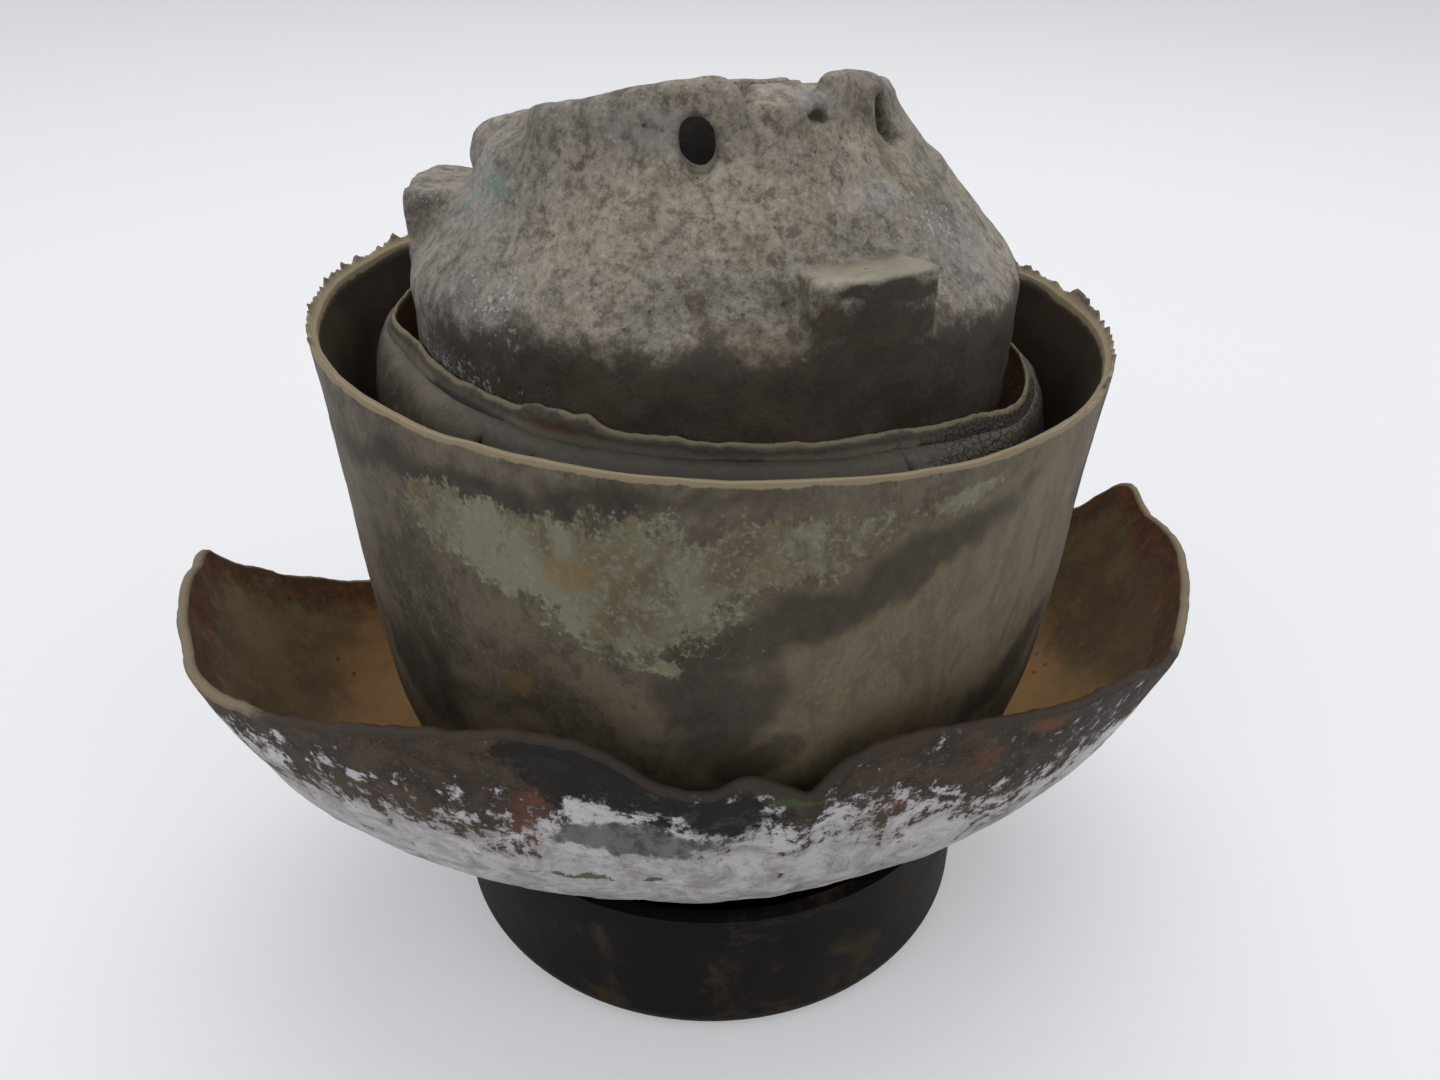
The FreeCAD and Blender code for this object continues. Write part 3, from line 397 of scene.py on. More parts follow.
def shield_metal(colours):
    """Aluminised sheet: whitish corroded coating low down, brown rust and dirt above."""
    finish = Finish("corroded_shield")
    grain = finish.noise(0.8, 2.0, 6, 0.8)
    speck = finish.noise(2.1, 6.0, 6, 0.8)
    blotch = finish.noise(8, 3.0, 6, 0.72, distort=0.6)
    cloud = finish.noise(24, 8.0, 5, 0.6)
    streak = finish.noise(3.0, 14.0, 6, 0.75, (1, 1, 0.4))
    ragged = (blotch - 0.5) * 5.5 + (speck - 0.5) * 5 + (streak - 0.5) * 5.5
    coat = finish.mix(finish.step(blotch, 0.38, 0.62), colours.shield_white, tone(150, 145, 144))
    coat = finish.mix(finish.step(speck, 0.52, 0.66) * 0.6, coat, tone(206, 204, 208))
    coat = finish.mix(finish.step(streak, 0.54, 0.66) * 0.55, coat, tone(124, 115, 108))
    coat = finish.mix(finish.step(grain, 0.57, 0.68) * 0.55, coat, tone(92, 82, 74))
    dirt = finish.mix(finish.step(blotch, 0.38, 0.66), tone(38, 30, 24), colours.shield_brown)
    dirt = finish.mix(finish.step(speck, 0.56, 0.68) * 0.6, dirt, tone(104, 95, 86))
    dirt = finish.mix(finish.step(grain, 0.6, 0.7) * 0.6, dirt, tone(140, 134, 130))
    rusty = finish.step(finish.field("brown") + ragged * 0.62, -0.15, 0.35)
    base = finish.mix(rusty, coat, dirt)
    rust = finish.step(finish.field("rust") + ragged * 0.4, 0.0, 0.8)
    base = finish.mix(rust * 0.55, base, tone(104, 62, 36))
    pale = finish.step(finish.field("pale") + ragged * 0.2, 0.0, 0.3)
    base = finish.mix(pale * 0.9, base, finish.mix(
        finish.step(streak, 0.4, 0.65), tone(96, 100, 92), tone(72, 74, 70)))
    black = finish.step(finish.field("black") + ragged * 0.26, -0.1, 0.25)
    base = finish.mix(black * 0.95, base, finish.mix(
        finish.step(grain, 0.5, 0.7), tone(14, 12, 11), tone(36, 31, 28)))
    moss = finish.step(finish.field("moss") + (speck - 0.5) * 3, 0.15, 0.4)
    base = finish.mix(moss * 0.9, base, tone(58, 76, 30))
    inner = finish.mix(finish.step(cloud, 0.38, 0.65), colours.shield_inside, tone(82, 66, 44))
    inner = finish.mix(finish.step(streak, 0.5, 0.7) * 0.4, inner, tone(124, 108, 78))
    warm = finish.step(finish.field("warm") + (blotch - 0.5) * 1.6, -0.3, 0.7)
    inner = finish.mix(warm * 0.75, inner, tone(146, 108, 68))
    stained = finish.step(finish.field("stained") + ragged * 0.3, -0.05, 0.6)
    inner = finish.mix(stained * 0.85, inner, finish.mix(
        finish.step(speck, 0.4, 0.65), tone(62, 40, 27), tone(104, 64, 34)))
    dots = finish.step(finish.cells(3.0, 3.0), 0.2, 0.06) * finish.step(blotch, 0.46, 0.6)
    inner = finish.mix(dots * 0.8, inner, tone(66, 40, 24))
    inside = finish.field("inside")
    base = finish.mix(inside, base, inner)
    bare = finish.mix(finish.step(finish.field("bare") + (speck - 0.5), 0.3, 0.7),
                      tone(56, 48, 43), colours.shield_edge)
    edge = finish.step(finish.field("edge") + (speck - 0.5) * 0.8, 0.5, 0.8)
    base = finish.mix(edge * 0.85, base, bare)
    flat = 1 - inside
    relief = grain * 0.5 + speck * 0.9 + rusty * flat * 0.6 + pale * 0.8 - black * 0.5
    return finish.shade(base, 0.5 + rusty * 0.2 + (speck - 0.5) * 0.35 + inside * 0.18,
                        finish.bump(relief, 0.32, 0.7), (flat - rusty * flat) * 0.22, 0.25)


def coated_steel(colours):
    """Black coated steel with a satin skin, brown dirt, scuffs and rust at the bottom edge."""
    finish = Finish("black_coated_cup")
    grain = finish.noise(1.0, 4.0, 6, 0.75)
    blotch = finish.noise(10, 11.0, 6, 0.7, distort=0.8)
    cloud = finish.noise(30, 6.0, 4, 0.55)
    base = finish.mix(finish.step(cloud, 0.42, 0.66), colours.cup_black, tone(24, 20, 18))
    dirt = finish.step(blotch + (cloud - 0.5) * 1.2, 0.58, 0.76)
    base = finish.mix(dirt * 0.6, base, tone(66, 55, 40))
    scuff = finish.step(finish.noise(4, 17.0, 6, 0.8, (0.5, 0.5, 1.8)), 0.6, 0.72)
    base = finish.mix(scuff * 0.4, base, tone(84, 78, 72))
    rust = finish.step(finish.height(), 4.0, 0.5) * finish.step(blotch + (grain - 0.5), 0.5, 0.7)
    base = finish.mix(rust * 0.8, base, tone(96, 58, 34))
    relief = grain * 0.5 + dirt * 0.9 + rust
    return finish.shade(base, 0.42 + dirt * 0.3 + rust * 0.3 + (grain - 0.5) * 0.2,
                        finish.bump(relief, 0.18, 0.5), specular=0.1)


def turned_metal(name, colour, shade, roughness, metallic, size=2.4):
    """Plain machined or pressed metal: fine tool marks, faint blotches and dull spots."""
    finish = Finish(name)
    marks = finish.noise(0.6, 2.0, 4, 0.6, (1, 1, 6))
    blotch = finish.noise(size * 3, 4.0, 5, 0.6)
    base = finish.mix(finish.step(blotch, 0.35, 0.7), colour, shade)
    return finish.shade(base, roughness + (marks - 0.5) * 0.2 + (blotch - 0.5) * 0.2,
                        finish.bump(marks, 0.05, 0.5), metallic)


def soft_rubber(name, colour, shade):
    """Clean moulded rubber with a fine skin and a little bloom."""
    finish = Finish(name)
    grain = finish.noise(0.7, 5.0, 4, 0.6)
    bloom = finish.noise(8, 2.0, 5, 0.6)
    base = finish.mix(finish.step(bloom, 0.4, 0.75), colour, shade)
    return finish.shade(base, 0.6 + (bloom - 0.5) * 0.2, finish.bump(grain, 0.06, 0.5),
                        specular=0.35)


# ---- shield ----

# Rim of the shield: x, y and height in millimetres where its line turns. The front runs from
# the left tip to the right one, with the notch in the middle; the back is one half, mirrored.
FRONT_RIM = [
    (-82.5, 14, 62), (-84, 12, 65), (-84.5, 6, 66), (-82, -15, 67), (-75, -31, 68), (-67, -38, 68.5),
    (-61, -43, 70.5), (-47, -51, 74), (-31, -57, 75.5), (-26, -58, 74.5), (-17, -58.5, 67.5),
    (-11, -59, 65.5), (-4, -59, 66.5), (0, -59, 64.5), (3, -59, 63), (7.5, -59, 68),
    (10, -59.5, 70), (14, -59, 70.5), (38, -54, 68.5), (54, -46, 66), (64, -38, 61),
    (74, -26, 59.5), (84, -4, 61), (84, 7, 61.5), (83, 13, 63.5), (82, 15, 62.5)]
BACK_RIM = [(0, 50.5, 39.5), (25, 48, 39.5), (46, 41, 41), (62, 31.5, 44.5), (73, 24, 51.5),
            (79.5, 17.5, 58)]
RIM = np.array(FRONT_RIM + BACK_RIM + [(-x, y, z) for x, y, z in BACK_RIM[1:]])
NECK_RADIUS = 18
FLOOR_RADIUS = 38.6
SHIELD_FLOOR = 26.5


def shield_surface(angle, steel):
    """The shield's outside, from its neck hole over the flat floor and up to its rim.

    At each angle the flat floor runs from the neck to the floor's circle. From there a point
    goes in a straight line, seen from above, towards the rim, and its height above the floor
    is the rim's height times the share of that line to a power: about 2 across the shield,
    where the side leans, and 3.7 along it, where the floor sweeps far out before it rises.
    """
    rim_angle = np.arctan2(RIM[:, 1], RIM[:, 0])
    wrap = 2 * math.pi
    reach = smooth_curve(angle, rim_angle, np.hypot(RIM[:, 0], RIM[:, 1]), wrap)
    top = smooth_curve(angle, rim_angle, RIM[:, 2], wrap)
    ring = ring_points(reach, top, angle)
    top = top + 0.45 * rough(ring, 6, 31) + 0.2 * rough(ring, 1.4, 33, 2)
    power = 2.0 + 1.66 * np.cos(angle) ** 2
    floor = np.linspace(NECK_RADIUS, FLOOR_RADIUS, 8, endpoint=False)[:, None]
    flat = ring_points(floor + 0 * angle, SHIELD_FLOOR, angle)
    share = (1 - (1 - np.linspace(0, 1, 66)) ** 1.45)[:, None]
    radius = FLOOR_RADIUS + (reach - FLOOR_RADIUS) * share
    height = SHIELD_FLOOR + (top - SHIELD_FLOOR) * share ** power
    side = ring_points(radius, height, angle)
    outside = np.concatenate([flat, side])
    share = np.concatenate([np.zeros(len(flat)), share[:, 0]])
    along = np.gradient(outside, axis=0)
    across = np.roll(outside, -1, axis=1) - np.roll(outside, 1, axis=1)
    normal = np.cross(along, across)
    normal /= np.linalg.norm(normal, axis=-1, keepdims=True)
    normal *= np.where(normal[..., 2:] > 0, -1, 1)
    firm = smoothstep(share, 0.05, 0.3)[:, None, None]
    dents = 0.35 * rough(outside, 17, 3)[..., None] + 0.10 * rough(outside, 2.6, 5)[..., None]
    outside = outside + normal * dents * firm
    inside = outside - normal * steel
    return outside, inside, share


def make_shield(sizes):
    angle, _ = turns(640)
    outside, inside, share = shield_surface(angle, sizes.shield_steel / MM)
    lip = (outside[-1:] + inside[-1:]) / 2 + np.array([0, 0, 0.3])
    grid = np.concatenate([outside, lip, inside[::-1]])
    level = np.concatenate([share, [1], share[::-1]])[:, None]
    is_inside = np.concatenate([0 * share, [0.5], 0 * share + 1])[:, None]
    off_rim = grid[len(outside), :, 2] - grid[..., 2]
    x, z = wandering(grid, grid[..., 0], grid[..., 2], 1.6)
    front = grid[..., 1] < 0

    def only_front(listed):
        return np.where(front, patches(x, z, listed), -1)

    deep = np.interp(x, (-75, -58, -44, -34, -26, -12, 0, 14, 34, 52, 68, 78),
                     (9, 14, 19, 22, 15, 9, 11, 17, 22, 15, 10, 6))
    fields = dict(
        brown=np.clip((deep - off_rim) / 13, -1, 0.9),
        black=only_front([((-21, 67), (17, 6.5), -24), ((-8, 61), (9, 5), -20),
                          ((-30, 72.5), (7, 3.5), 0)]),
        pale=only_front([((-20, 55), (13, 4.5), -6), ((-31, 71), (4.5, 2.2), -10)]),
        rust=only_front([((27, 62.5), (2.6, 3.2), 70), ((-32, 64), (5, 3), 20), ((-33, 57), (4, 6), 0),
                         ((36, 66), (6, 1.4), 0), ((16, 55), (4, 2), 0)]),
        moss=only_front([((2, 62.6), (3.4, 1.1), -10), ((-27, 43.5), (5.5, 1.3), 4),
                         ((-17.5, 43), (2.4, 0.9), 0)]),
        stained=smoothstep(off_rim, 17, 1) * 1.5 - 0.8,
        warm=smoothstep(np.abs(x), 78, 56) * smoothstep(z, 58, 38) * 1.6 - 0.7,
        inside=is_inside + 0 * x,
        edge=smoothstep(level, 0.993, 0.999) + 0 * x,
        bare=np.where(front, smoothstep(np.abs(x), 60, 76), 1),
    )
    return add_tube("shield_dish", grid, fields)


# ---- boot ----

BOOT_FOOT, BOOT_TOP = 28.0, 107.9
# heights and radii of the boot's outside in millimetres, along the shield and across it
BOOT_WIDE = ((28, 32, 40, 55, 70, 90, 108), (46.5, 50, 51, 54, 55.5, 56.5, 58))
BOOT_NARROW = ((28, 37, 52, 78, 108), (41, 46, 51, 55.5, 58))
# how steeply the boot's rim falls to the right and away, as seen from the front
BOOT_FALL_RIGHT = 0.0367
BOOT_FALL_AWAY = 0.0187


def boot_radius(angle, height):
    """Outside radius: the wide profile along the shield, the narrow one across it."""
    wide = smooth_curve(height, *BOOT_WIDE)
    narrow = smooth_curve(height, *BOOT_NARROW)
    return narrow + (wide - narrow) * np.abs(np.cos(angle)) ** 1.5


def make_boot(sizes):
    """A rubber cup: floor, outside wall, frayed moulding flash on the rim and inside wall."""
    angle, bearing = turns(640)
    wall = sizes.boot_wall / MM
    x, y = np.cos(angle) * 58, np.sin(angle) * 58
    rim = ring_points(58 + 0 * angle, BOOT_TOP, angle)
    turn = -FRONT - math.pi / 2
    fall = BOOT_FALL_RIGHT * (x * math.cos(turn) - y * math.sin(turn))
    fall += BOOT_FALL_AWAY * (x * math.sin(turn) + y * math.cos(turn))
    top = BOOT_TOP - fall + 0.35 * rough(rim, 16, 41)
    frayed = np.maximum(patch(bearing, 0 * bearing, (-100, 0), (52, 1)),
                        patch(bearing, 0 * bearing, (97, 0), (52, 1)))
    frayed = smoothstep(frayed, 0, 0.35)
    jag = np.abs(rough(rim, 2.0, 43, 3)) * 1.1 + np.maximum(rough(rim, 6, 47, 2), 0) * 1.5
    jag = np.minimum(jag, 1.5 + 0.3 * rough(rim, 1.5, 49, 2))
    flash = 0.3 + 0.3 * np.maximum(rough(rim, 5, 45), 0) + frayed * jag * sizes.flash / MM
    t = np.linspace(0, 1, 84)[:, None]
    height = BOOT_FOOT + 1.2 + (top - BOOT_FOOT - 1.2) * t
    outer = boot_radius(angle, height)
    inner = outer - wall * (0.62 + 0.38 * smoothstep(top - height, 0, 9))
    foot = boot_radius(angle, BOOT_FOOT + 0 * angle)
    lean = frayed * jag * 0.35
    rows = [
        ring_points(NECK_RADIUS + (foot - 1.2 - NECK_RADIUS) * np.linspace(0, 1, 6)[:, None],
                    BOOT_FOOT, angle),
        ring_points((foot - 0.4)[None], BOOT_FOOT + 0.3, angle),
        ring_points(outer, height, angle),
        ring_points((outer[-1] + lean * 0.5)[None], (top + flash * 0.6)[None], angle),
        ring_points((outer[-1] - 0.1 + lean)[None], (top + flash)[None], angle),
        ring_points((outer[-1] - 0.45 + lean * 0.6)[None], (top + flash * 0.85)[None], angle),
        ring_points((outer[-1] - 0.6)[None], (top + 0.1)[None], angle),
        ring_points((inner[-1] + 0.2)[None], (top + 0.05)[None], angle),
        ring_points(inner[-1:], (top - 0.2)[None], angle),
        ring_points(inner[-3::-2], height[-3::-2], angle),
        ring_points(NECK_RADIUS + (inner[0] - 1 - NECK_RADIUS) * np.linspace(1, 0, 6)[:, None],
                    BOOT_FOOT + 2.5, angle),
    ]
    inner_rows = len(rows[9])
    rows[9] = np.where(rows[9][..., 2:] < BOOT_FOOT + 2.6,
                       rows[9] * [1, 1, 0] + [0, 0, BOOT_FOOT + 2.6], rows[9])
    grid = np.concatenate(rows)
    outward = ring_points(1 + 0 * angle, 0, angle)
    wave = 0.35 * rough(grid, 26, 51) + 0.05 * rough(grid, 2, 53, 2)
    grid = grid + outward * wave[..., None] * smoothstep(grid[..., 2:], 34, 60)
    below = top - grid[..., 2]
    az, z = wandering(grid, bearing + 0 * below, grid[..., 2], 1.8)
    is_inside = np.zeros(len(grid))
    is_inside[-(inner_rows + 6):] = 1
    listed = dict(
        worn=patches(az, z, [((-19, 96.5), (19, 8), -5), ((-9, 94), (14, 11), 8),
                             ((6, 98.5), (19, 5), 12), ((31, 103.5), (8, 2), 12),
                             ((-6, 82), (4, 1.2), 0), ((-33, 99), (6, 7), -20)]),
        smear=patches(az, z, [((8, 88), (14, 4.5), 26), ((30, 97), (20, 3.5), 20), ((0, 76), (10, 14), 0),
                              ((-46, 66), (10, 9), 0), ((66, 95), (4, 11), 10), ((6, 66), (9, 4), 20),
                              ((52, 67), (16, 5), 30), ((-24, 105), (34, 3), 4)]),
        pale=patches(az, z, [((36, 84), (33, 18), 10), ((52, 98), (22, 12), 0), ((20, 68), (22, 8), 10),
                             ((-22, 66), (12, 5), 0)]),
        stain=patches(az, z, [((-27, 76), (3, 2), 0), ((-16, 95), (5, 2.5), 20)]),
        edge=smoothstep(below, 0.9, 0.2) * (1 - is_inside[:, None]),
        flash=smoothstep(below, -0.4, -1.0) * frayed,
        inside=is_inside[:, None] + 0 * z,
    )
    return add_tube("moulded_boot", grid, listed)


# ---- spring collar ----

# height of the collar's lip in millimetres at bearings in degrees
LIP_BEARINGS = (-180, -140, -100, -30, 0, 30, 74, 100, 140)
LIP_HEIGHTS = (104.5, 106, 108.5, 108.5, 107.5, 106, 101.5, 101, 102.5)
CASTING_RADIUS = 43.5


def make_collar():
    """The spring: a cone of rubber on the core whose collar bulges round the can.

    Its section runs up the core, round the can, up to a thin lip against the casting, over
    the bulge and down the outside; the lip's height and gap change with the bearing.
    """
    angle, bearing = turns(640)
    lip_top = smooth_curve(bearing, LIP_BEARINGS, LIP_HEIGHTS, 360)
    circle = ring_points(45 + 0 * angle, 105, angle)
    opened = smoothstep(np.maximum(patch(bearing, 0 * bearing, (-92, 0), (28, 1)),
                                   patch(bearing, 0 * bearing, (78, 0), (34, 1))), 0, 0.6)
    gap = 0.25 + 2.6 * opened
    torn = patch(bearing, 0 * bearing, (-4, 0), (32, 1)).clip(0)
    lift = 0.9 * np.maximum(rough(circle, 6, 61), -0.2) * smoothstep(torn, 0, 0.3)
    lift = lift + 0.25 * rough(circle, 2.4, 63)
    fold = smoothstep(patch(bearing, 0 * bearing, (-24, 0), (9, 1)), 0, 0.5)
    inner = CASTING_RADIUS + 0.1 + gap
    crest = lip_top + lift + fold * 0.9
    bulge_top = lip_top - 1.9 - 0.5 * fold
    outer = 50.5 + 0 * angle

    def belt(radius, height):
        return ring_points((radius + 0 * angle)[None], (height + 0 * angle)[None], angle)

    inner_wall = [belt(43.9 + (inner - 43.9) * u, 92 + (lip_top - 1.5 - 92) * u)
                  for u in np.linspace(0, 1, 12)]
    swing = np.linspace(0, 1, 34)
    across = np.sin(swing * math.pi / 2) ** 0.9
    fall = 1 - np.cos(swing * math.pi / 2) ** 0.9
    start = inner + 1.75
    bulge = [belt(start + (outer - start) * a, bulge_top - 11 * f) for a, f in zip(across, fall)]
    rows = [belt(r, h) for r, h in ((30.05, 44.5), (30.05, 56), (25.1, 71.9), (38, 73.6), (39, 75.9),
                                    (45.9, 75.9), (45.9, 70.2), (40.9, 60.2), (42, 59.3), (47.6, 69.7),
                                    (47.6, 91.6), (43.9, 91.7))]
    rows += inner_wall
    rows += [belt(inner, crest - 0.35), belt(inner + 0.15, crest), belt(inner + 0.4, crest - 0.05),
             belt(inner + 0.7, crest - 0.5), belt(inner + 0.8, crest - 1.1 - fold),
             belt(inner + 1.15, bulge_top - 0.7)]
    lip_row = len(rows) - 4
    rows += bulge
    rows += [belt(50.5, h) for h in np.linspace(92, 70, 14)]
    rows += [belt(49.8, 66), belt(48.4, 62), belt(46, 58), belt(40, 51), belt(34, 44.5)]
    grid = np.concatenate(rows)
    z = grid[..., 2]
    az = bearing + 0 * z
    index = np.arange(len(grid))[:, None] + 0 * z
    shown = smoothstep(z, 86, 96)
    outward = ring_points(1 + 0 * angle, 0, angle)
    split = np.maximum.reduce([
        patch(az, z, (31, 101), (0.9, 7), 8), patch(az, z, (-36, 104), (0.8, 2.6), -20),
        patch(az, z, (-26, 103), (1.0, 2.4), 25)]).clip(0) * (index > lip_row + 3)
    wave = 0.4 * rough(grid, 13, 65) + 0.12 * rough(grid, 3, 67, 2) - 0.9 * split
    is_bulge = index > lip_row + 3
    grid = grid + outward * (wave * shown * is_bulge)[..., None]
    down = lip_top - z
    listed = dict(
        lip=smoothstep(np.abs(index - lip_row + 0.5), 2.6, 0.9) + 0.25 * rough(grid, 9, 69),
        shaded=patch(az, down, (-2, 4), (42, 7)) * (index > lip_row),
        crazed=np.maximum(patch(az, down, (60, 8), (45, 9)), patch(az, down, (-150, 6), (60, 9))),
        split=np.maximum(split, np.exp(-(index - lip_row - 3.5) ** 2 / 1.6)
                         * smoothstep(rough(grid, 12, 64) + 0.25 * rough(grid, 2, 62), -0.4, 0.2)),
        rust=np.maximum(patch(az, down, (-24, 0.9), (9, 1.3)),
                        (opened * (index < lip_row) - 0.4)) + 0 * z,
    )
    return add_tube("spring_collar", grid, listed)


# ---- bellows ----

def make_bellows():
    """A rolling rubber diaphragm: bead, wall and two rounded folds of even thickness."""
    angle, _ = turns(240)
    outer = ((41.8, 84.1), (41.9, 86.3), (38.2, 86.6), (37.8, 90), (37, 97), (34.5, 105.5),
             (30, 109.6), (25, 110.9), (19, 110.2), (12, 107.9), (5, 107.6), (1.2, 107.6))
    inner = ((1.2, 106.1), (5, 106.1), (12, 106.4), (19, 108.6), (25, 109.3), (29.4, 108.1),
             (33, 104.6), (35.4, 97), (36.2, 90), (36.4, 86), (36.6, 84.1))

    def eased(points):
        points = np.array(points)
        at = np.linspace(0, len(points) - 1, 3 * len(points) - 2)
        knots = np.arange(len(points))
        return [smooth_curve(at, knots, points[:, k]) for k in (0, 1)]

    radius, height = (np.concatenate(pair) for pair in zip(eased(outer), eased(inner)))
    grid = ring_points(radius[:, None] + 0 * angle, height[:, None], angle)
    return add_tube("bellows_skin", grid, {})


# ---- casting ----

CROWN_MIDDLE = (-2.1, -0.6)
FACE_POINT = np.array([0, 0, 139.9])
FACE_NORMAL = np.array([-0.0597, 0.1991, 0.9781])


def mesh_arrays(mesh):
    """A mesh's points in millimetres and its edges."""
    points = np.empty(3 * len(mesh.vertices))
    mesh.vertices.foreach_get("co", points)
    edges = np.empty(2 * len(mesh.edges), int)
    mesh.edges.foreach_get("vertices", edges)
    return points.reshape(-1, 3) / MM, edges.reshape(-1, 2)


def relaxed(points, edges, strength, rounds):
    """Each point moves the given share of the way to the mean of its neighbours, each round."""
    both = np.concatenate([edges, edges[:, ::-1]])
    count = np.bincount(both[:, 0], minlength=len(points))[:, None]
    for _ in range(rounds):
        total = np.stack([np.bincount(both[:, 0], points[both[:, 1], k], len(points))
                          for k in range(3)], axis=-1)
        points = points + (total / count - points) * strength[:, None]
    return points


def remeshed_copy(node, name, voxel):
    """An even quad skin over a copy of a CAD node, its doubles merged first."""
    piece = bpy.data.objects.new(name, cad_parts[node].data.copy())
    bpy.context.scene.collection.objects.link(piece)
    weld = piece.modifiers.new("weld", "WELD")
    weld.merge_threshold = 0.002 * MM
    remesh = piece.modifiers.new("remesh", "REMESH")
    remesh.mode = "VOXEL"
    remesh.voxel_size = voxel
    graph = bpy.context.evaluated_depsgraph_get()
    mesh = bpy.data.meshes.new_from_object(piece.evaluated_get(graph))
    piece.modifiers.clear()
    piece.data = mesh
    mesh.name = name
    mesh.materials.clear()
    return piece


def make_casting(sizes):
    """The housing's casting: edges eased all over, the crown's most, then sand-cast lumps.

    The skin is relaxed towards its neighbours' mean, and then each point moves along its
    normal by summed value noise, a boss beside the crown and shrinkage pits by the notch.
    """
    piece = remeshed_copy("housing", "casting_skin", sizes.casting_grain)
    mesh = piece.data
    points, edges = mesh_arrays(mesh)
    x, y, z = points.T
    radius = np.hypot(x, y)
    outside = (radius > 41.5) | (z > 118.5)
    off_crown = np.hypot(x - CROWN_MIDDLE[0], y - CROWN_MIDDLE[1])
    below_face = -(points - FACE_POINT) @ FACE_NORMAL
    crown = smoothstep(below_face, 2.2, 1.2) * (off_crown > 20)
    # inside the crown's hollow, below its top face, where the painted shade goes
    hollow_shade = smoothstep(below_face, 0.8, 5.5) * (off_crown < 22.8) * (z > 127)
    points = relaxed(points, edges, np.full(len(points), 0.5), 2)
    points = relaxed(points, edges, 0.5 * crown, int(sizes.crown_easing))
    x, y, z = points.T
    crown_az = (np.degrees(np.arctan2(y - CROWN_MIDDLE[1], x - CROWN_MIDDLE[0]) - FRONT)
                + 180) % 360 - 180
    shell = smoothstep(off_crown, 15, 22)
    notch = smoothstep(np.abs(crown_az - 27), 15, 8) * smoothstep(off_crown, 16, 19)
    notch = notch * smoothstep(below_face, 11, 5) * smoothstep(below_face, 1.5, 3.4)
    rise = notch * (1.9 + 2.8 * smoothstep(off_crown, 28, 21))
    pull = 3.4 * smoothstep(np.abs(crown_az + 84), 44, 20) * smoothstep(z, 134, 137.5) * shell
    lean = 0.085 * np.clip(z - 127.6, 0, None) * shell
    sink = 1.2 * shell * smoothstep(z, 130, 134) * smoothstep(z, 145, 142.5)
    ramp = smoothstep(crown_az, 10, 21) * smoothstep(crown_az, 34, 30) * shell
    sink = sink + 2.4 * ramp * smoothstep(z, 140.5, 145) - rise
    points = points + np.stack([-0.984 * lean, 0.179 * lean, -sink], axis=-1)
    points[:, 0] -= pull * (x - CROWN_MIDDLE[0]) / off_crown.clip(1)
    points[:, 1] -= pull * (y - CROWN_MIDDLE[1]) / off_crown.clip(1)
    mesh.vertices.foreach_set("co", (points * MM).ravel())
    mesh.update()
    normal = np.empty(3 * len(points))
    mesh.vertices.foreach_get("normal", normal)
    normal = normal.reshape(-1, 3)
    x, y, z = points.T
    az = (np.degrees(np.arctan2(y, x) - FRONT) + 180) % 360 - 180
    lumps = 0.30 * rough(points, 11, 71, 2) + 0.14 * rough(points, 2.8, 73, 3)
    boss = patch(crown_az, z, (-84, 132.5), (8, 3.4)).clip(0) * (radius < 36)
    boss = np.sqrt(boss) * 1.5
    pits = patch(crown_az, z, (34, 140.2), (3.6, 1.0)).clip(0)
    moved = (lumps + boss - 1.3 * np.sqrt(pits)) * outside
    moved = np.where((z > 92) | (radius < 42), moved, np.minimum(moved, 0))
    points = points + normal * moved[:, None]
    mesh.vertices.foreach_set("co", (points * MM).ravel())
    az, z = wandering(points, az, points[:, 2], 1.8)
    # darker towards the bottom of the casting
    low = smoothstep(z, 123.5, 112.5) * 1.8 - 0.75
    # the lug's upward-facing ledge, which gets the painted highlight
    level = (normal[:, 2] > 0.5) & (np.abs(z - 125.8) < 1.4) & (radius > 35)
    ledge_highlight = level * smoothstep(np.abs(az - 27), 12.5, 11.5) * smoothstep(radius, 36, 39)
    # painted shadow: a dark line just under the lug's ledge
    under = patch(az, z, (27, 123.8), (12.5, 1.3)).clip(0)
    # less darkening on the left side
    left_less_dark = patch(az, z, (-68, 112), (34, 16))
    listed = dict(
        # darkening towards the bottom (less on the left) and in the pits, painted shadow under the ledge,
        # and painted shade on the lug's face below it
        grime_and_shade=np.maximum.reduce([low - 1.3 * left_less_dark.clip(0), np.sqrt(pits), 2 * under,
                                 0.9 * patch(az, z, (27, 119), (13, 6))]),
        ledge_highlight=ledge_highlight,
        oxide=patches(az, z, [((-66, 128), (22, 8)), ((-58, 141), (24, 5)), ((-50, 116), (20, 6)),
                              ((60, 124), (14, 6)), ((40, 131), (10, 3)), ((-80, 108), (22, 16)),
                              ((-15, 140), (22, 3)), ((27, 141), (9, 2.5))]),
        stain=patches(az, z, [((8, 118.5), (14, 3)), ((18, 121), (5, 5)), ((50, 134), (4, 9), 30),
                              ((30, 119), (20, 5)), ((44, 141), (12, 3))]),
        paint=patches(az, z, [((-58, 130.5), (8, 1.4), 12), ((-64, 127.5), (5, 1.0), 20)]),
        bloom=patches(az, z, [((-52, 108), (26, 6)), ((-20, 103.5), (30, 4)), ((-66, 130), (26, 9)),
                              ((52, 128), (22, 9)), ((-40, 120), (20, 6))]),
        hollow_shade=hollow_shade,
    )
    for label, values in listed.items():
        attribute = mesh.attributes.new(label, "FLOAT", "POINT")
        attribute.data.foreach_set("value", values.astype(np.float32))
    mesh.polygons.foreach_set("use_smooth", np.ones(len(mesh.polygons), bool))
    mesh.update()
    return piece


# ---- settings, operators and panel ----

def metres(name, description, default):
    return FloatProperty(name=name, description=description, default=default, min=0,
                         unit="LENGTH", subtype="DISTANCE", precision=5)


def colour(name, description, shade):
    return FloatVectorProperty(name=name, description=description, default=tone(*shade),
                               subtype="COLOR", size=4, min=0, max=1)


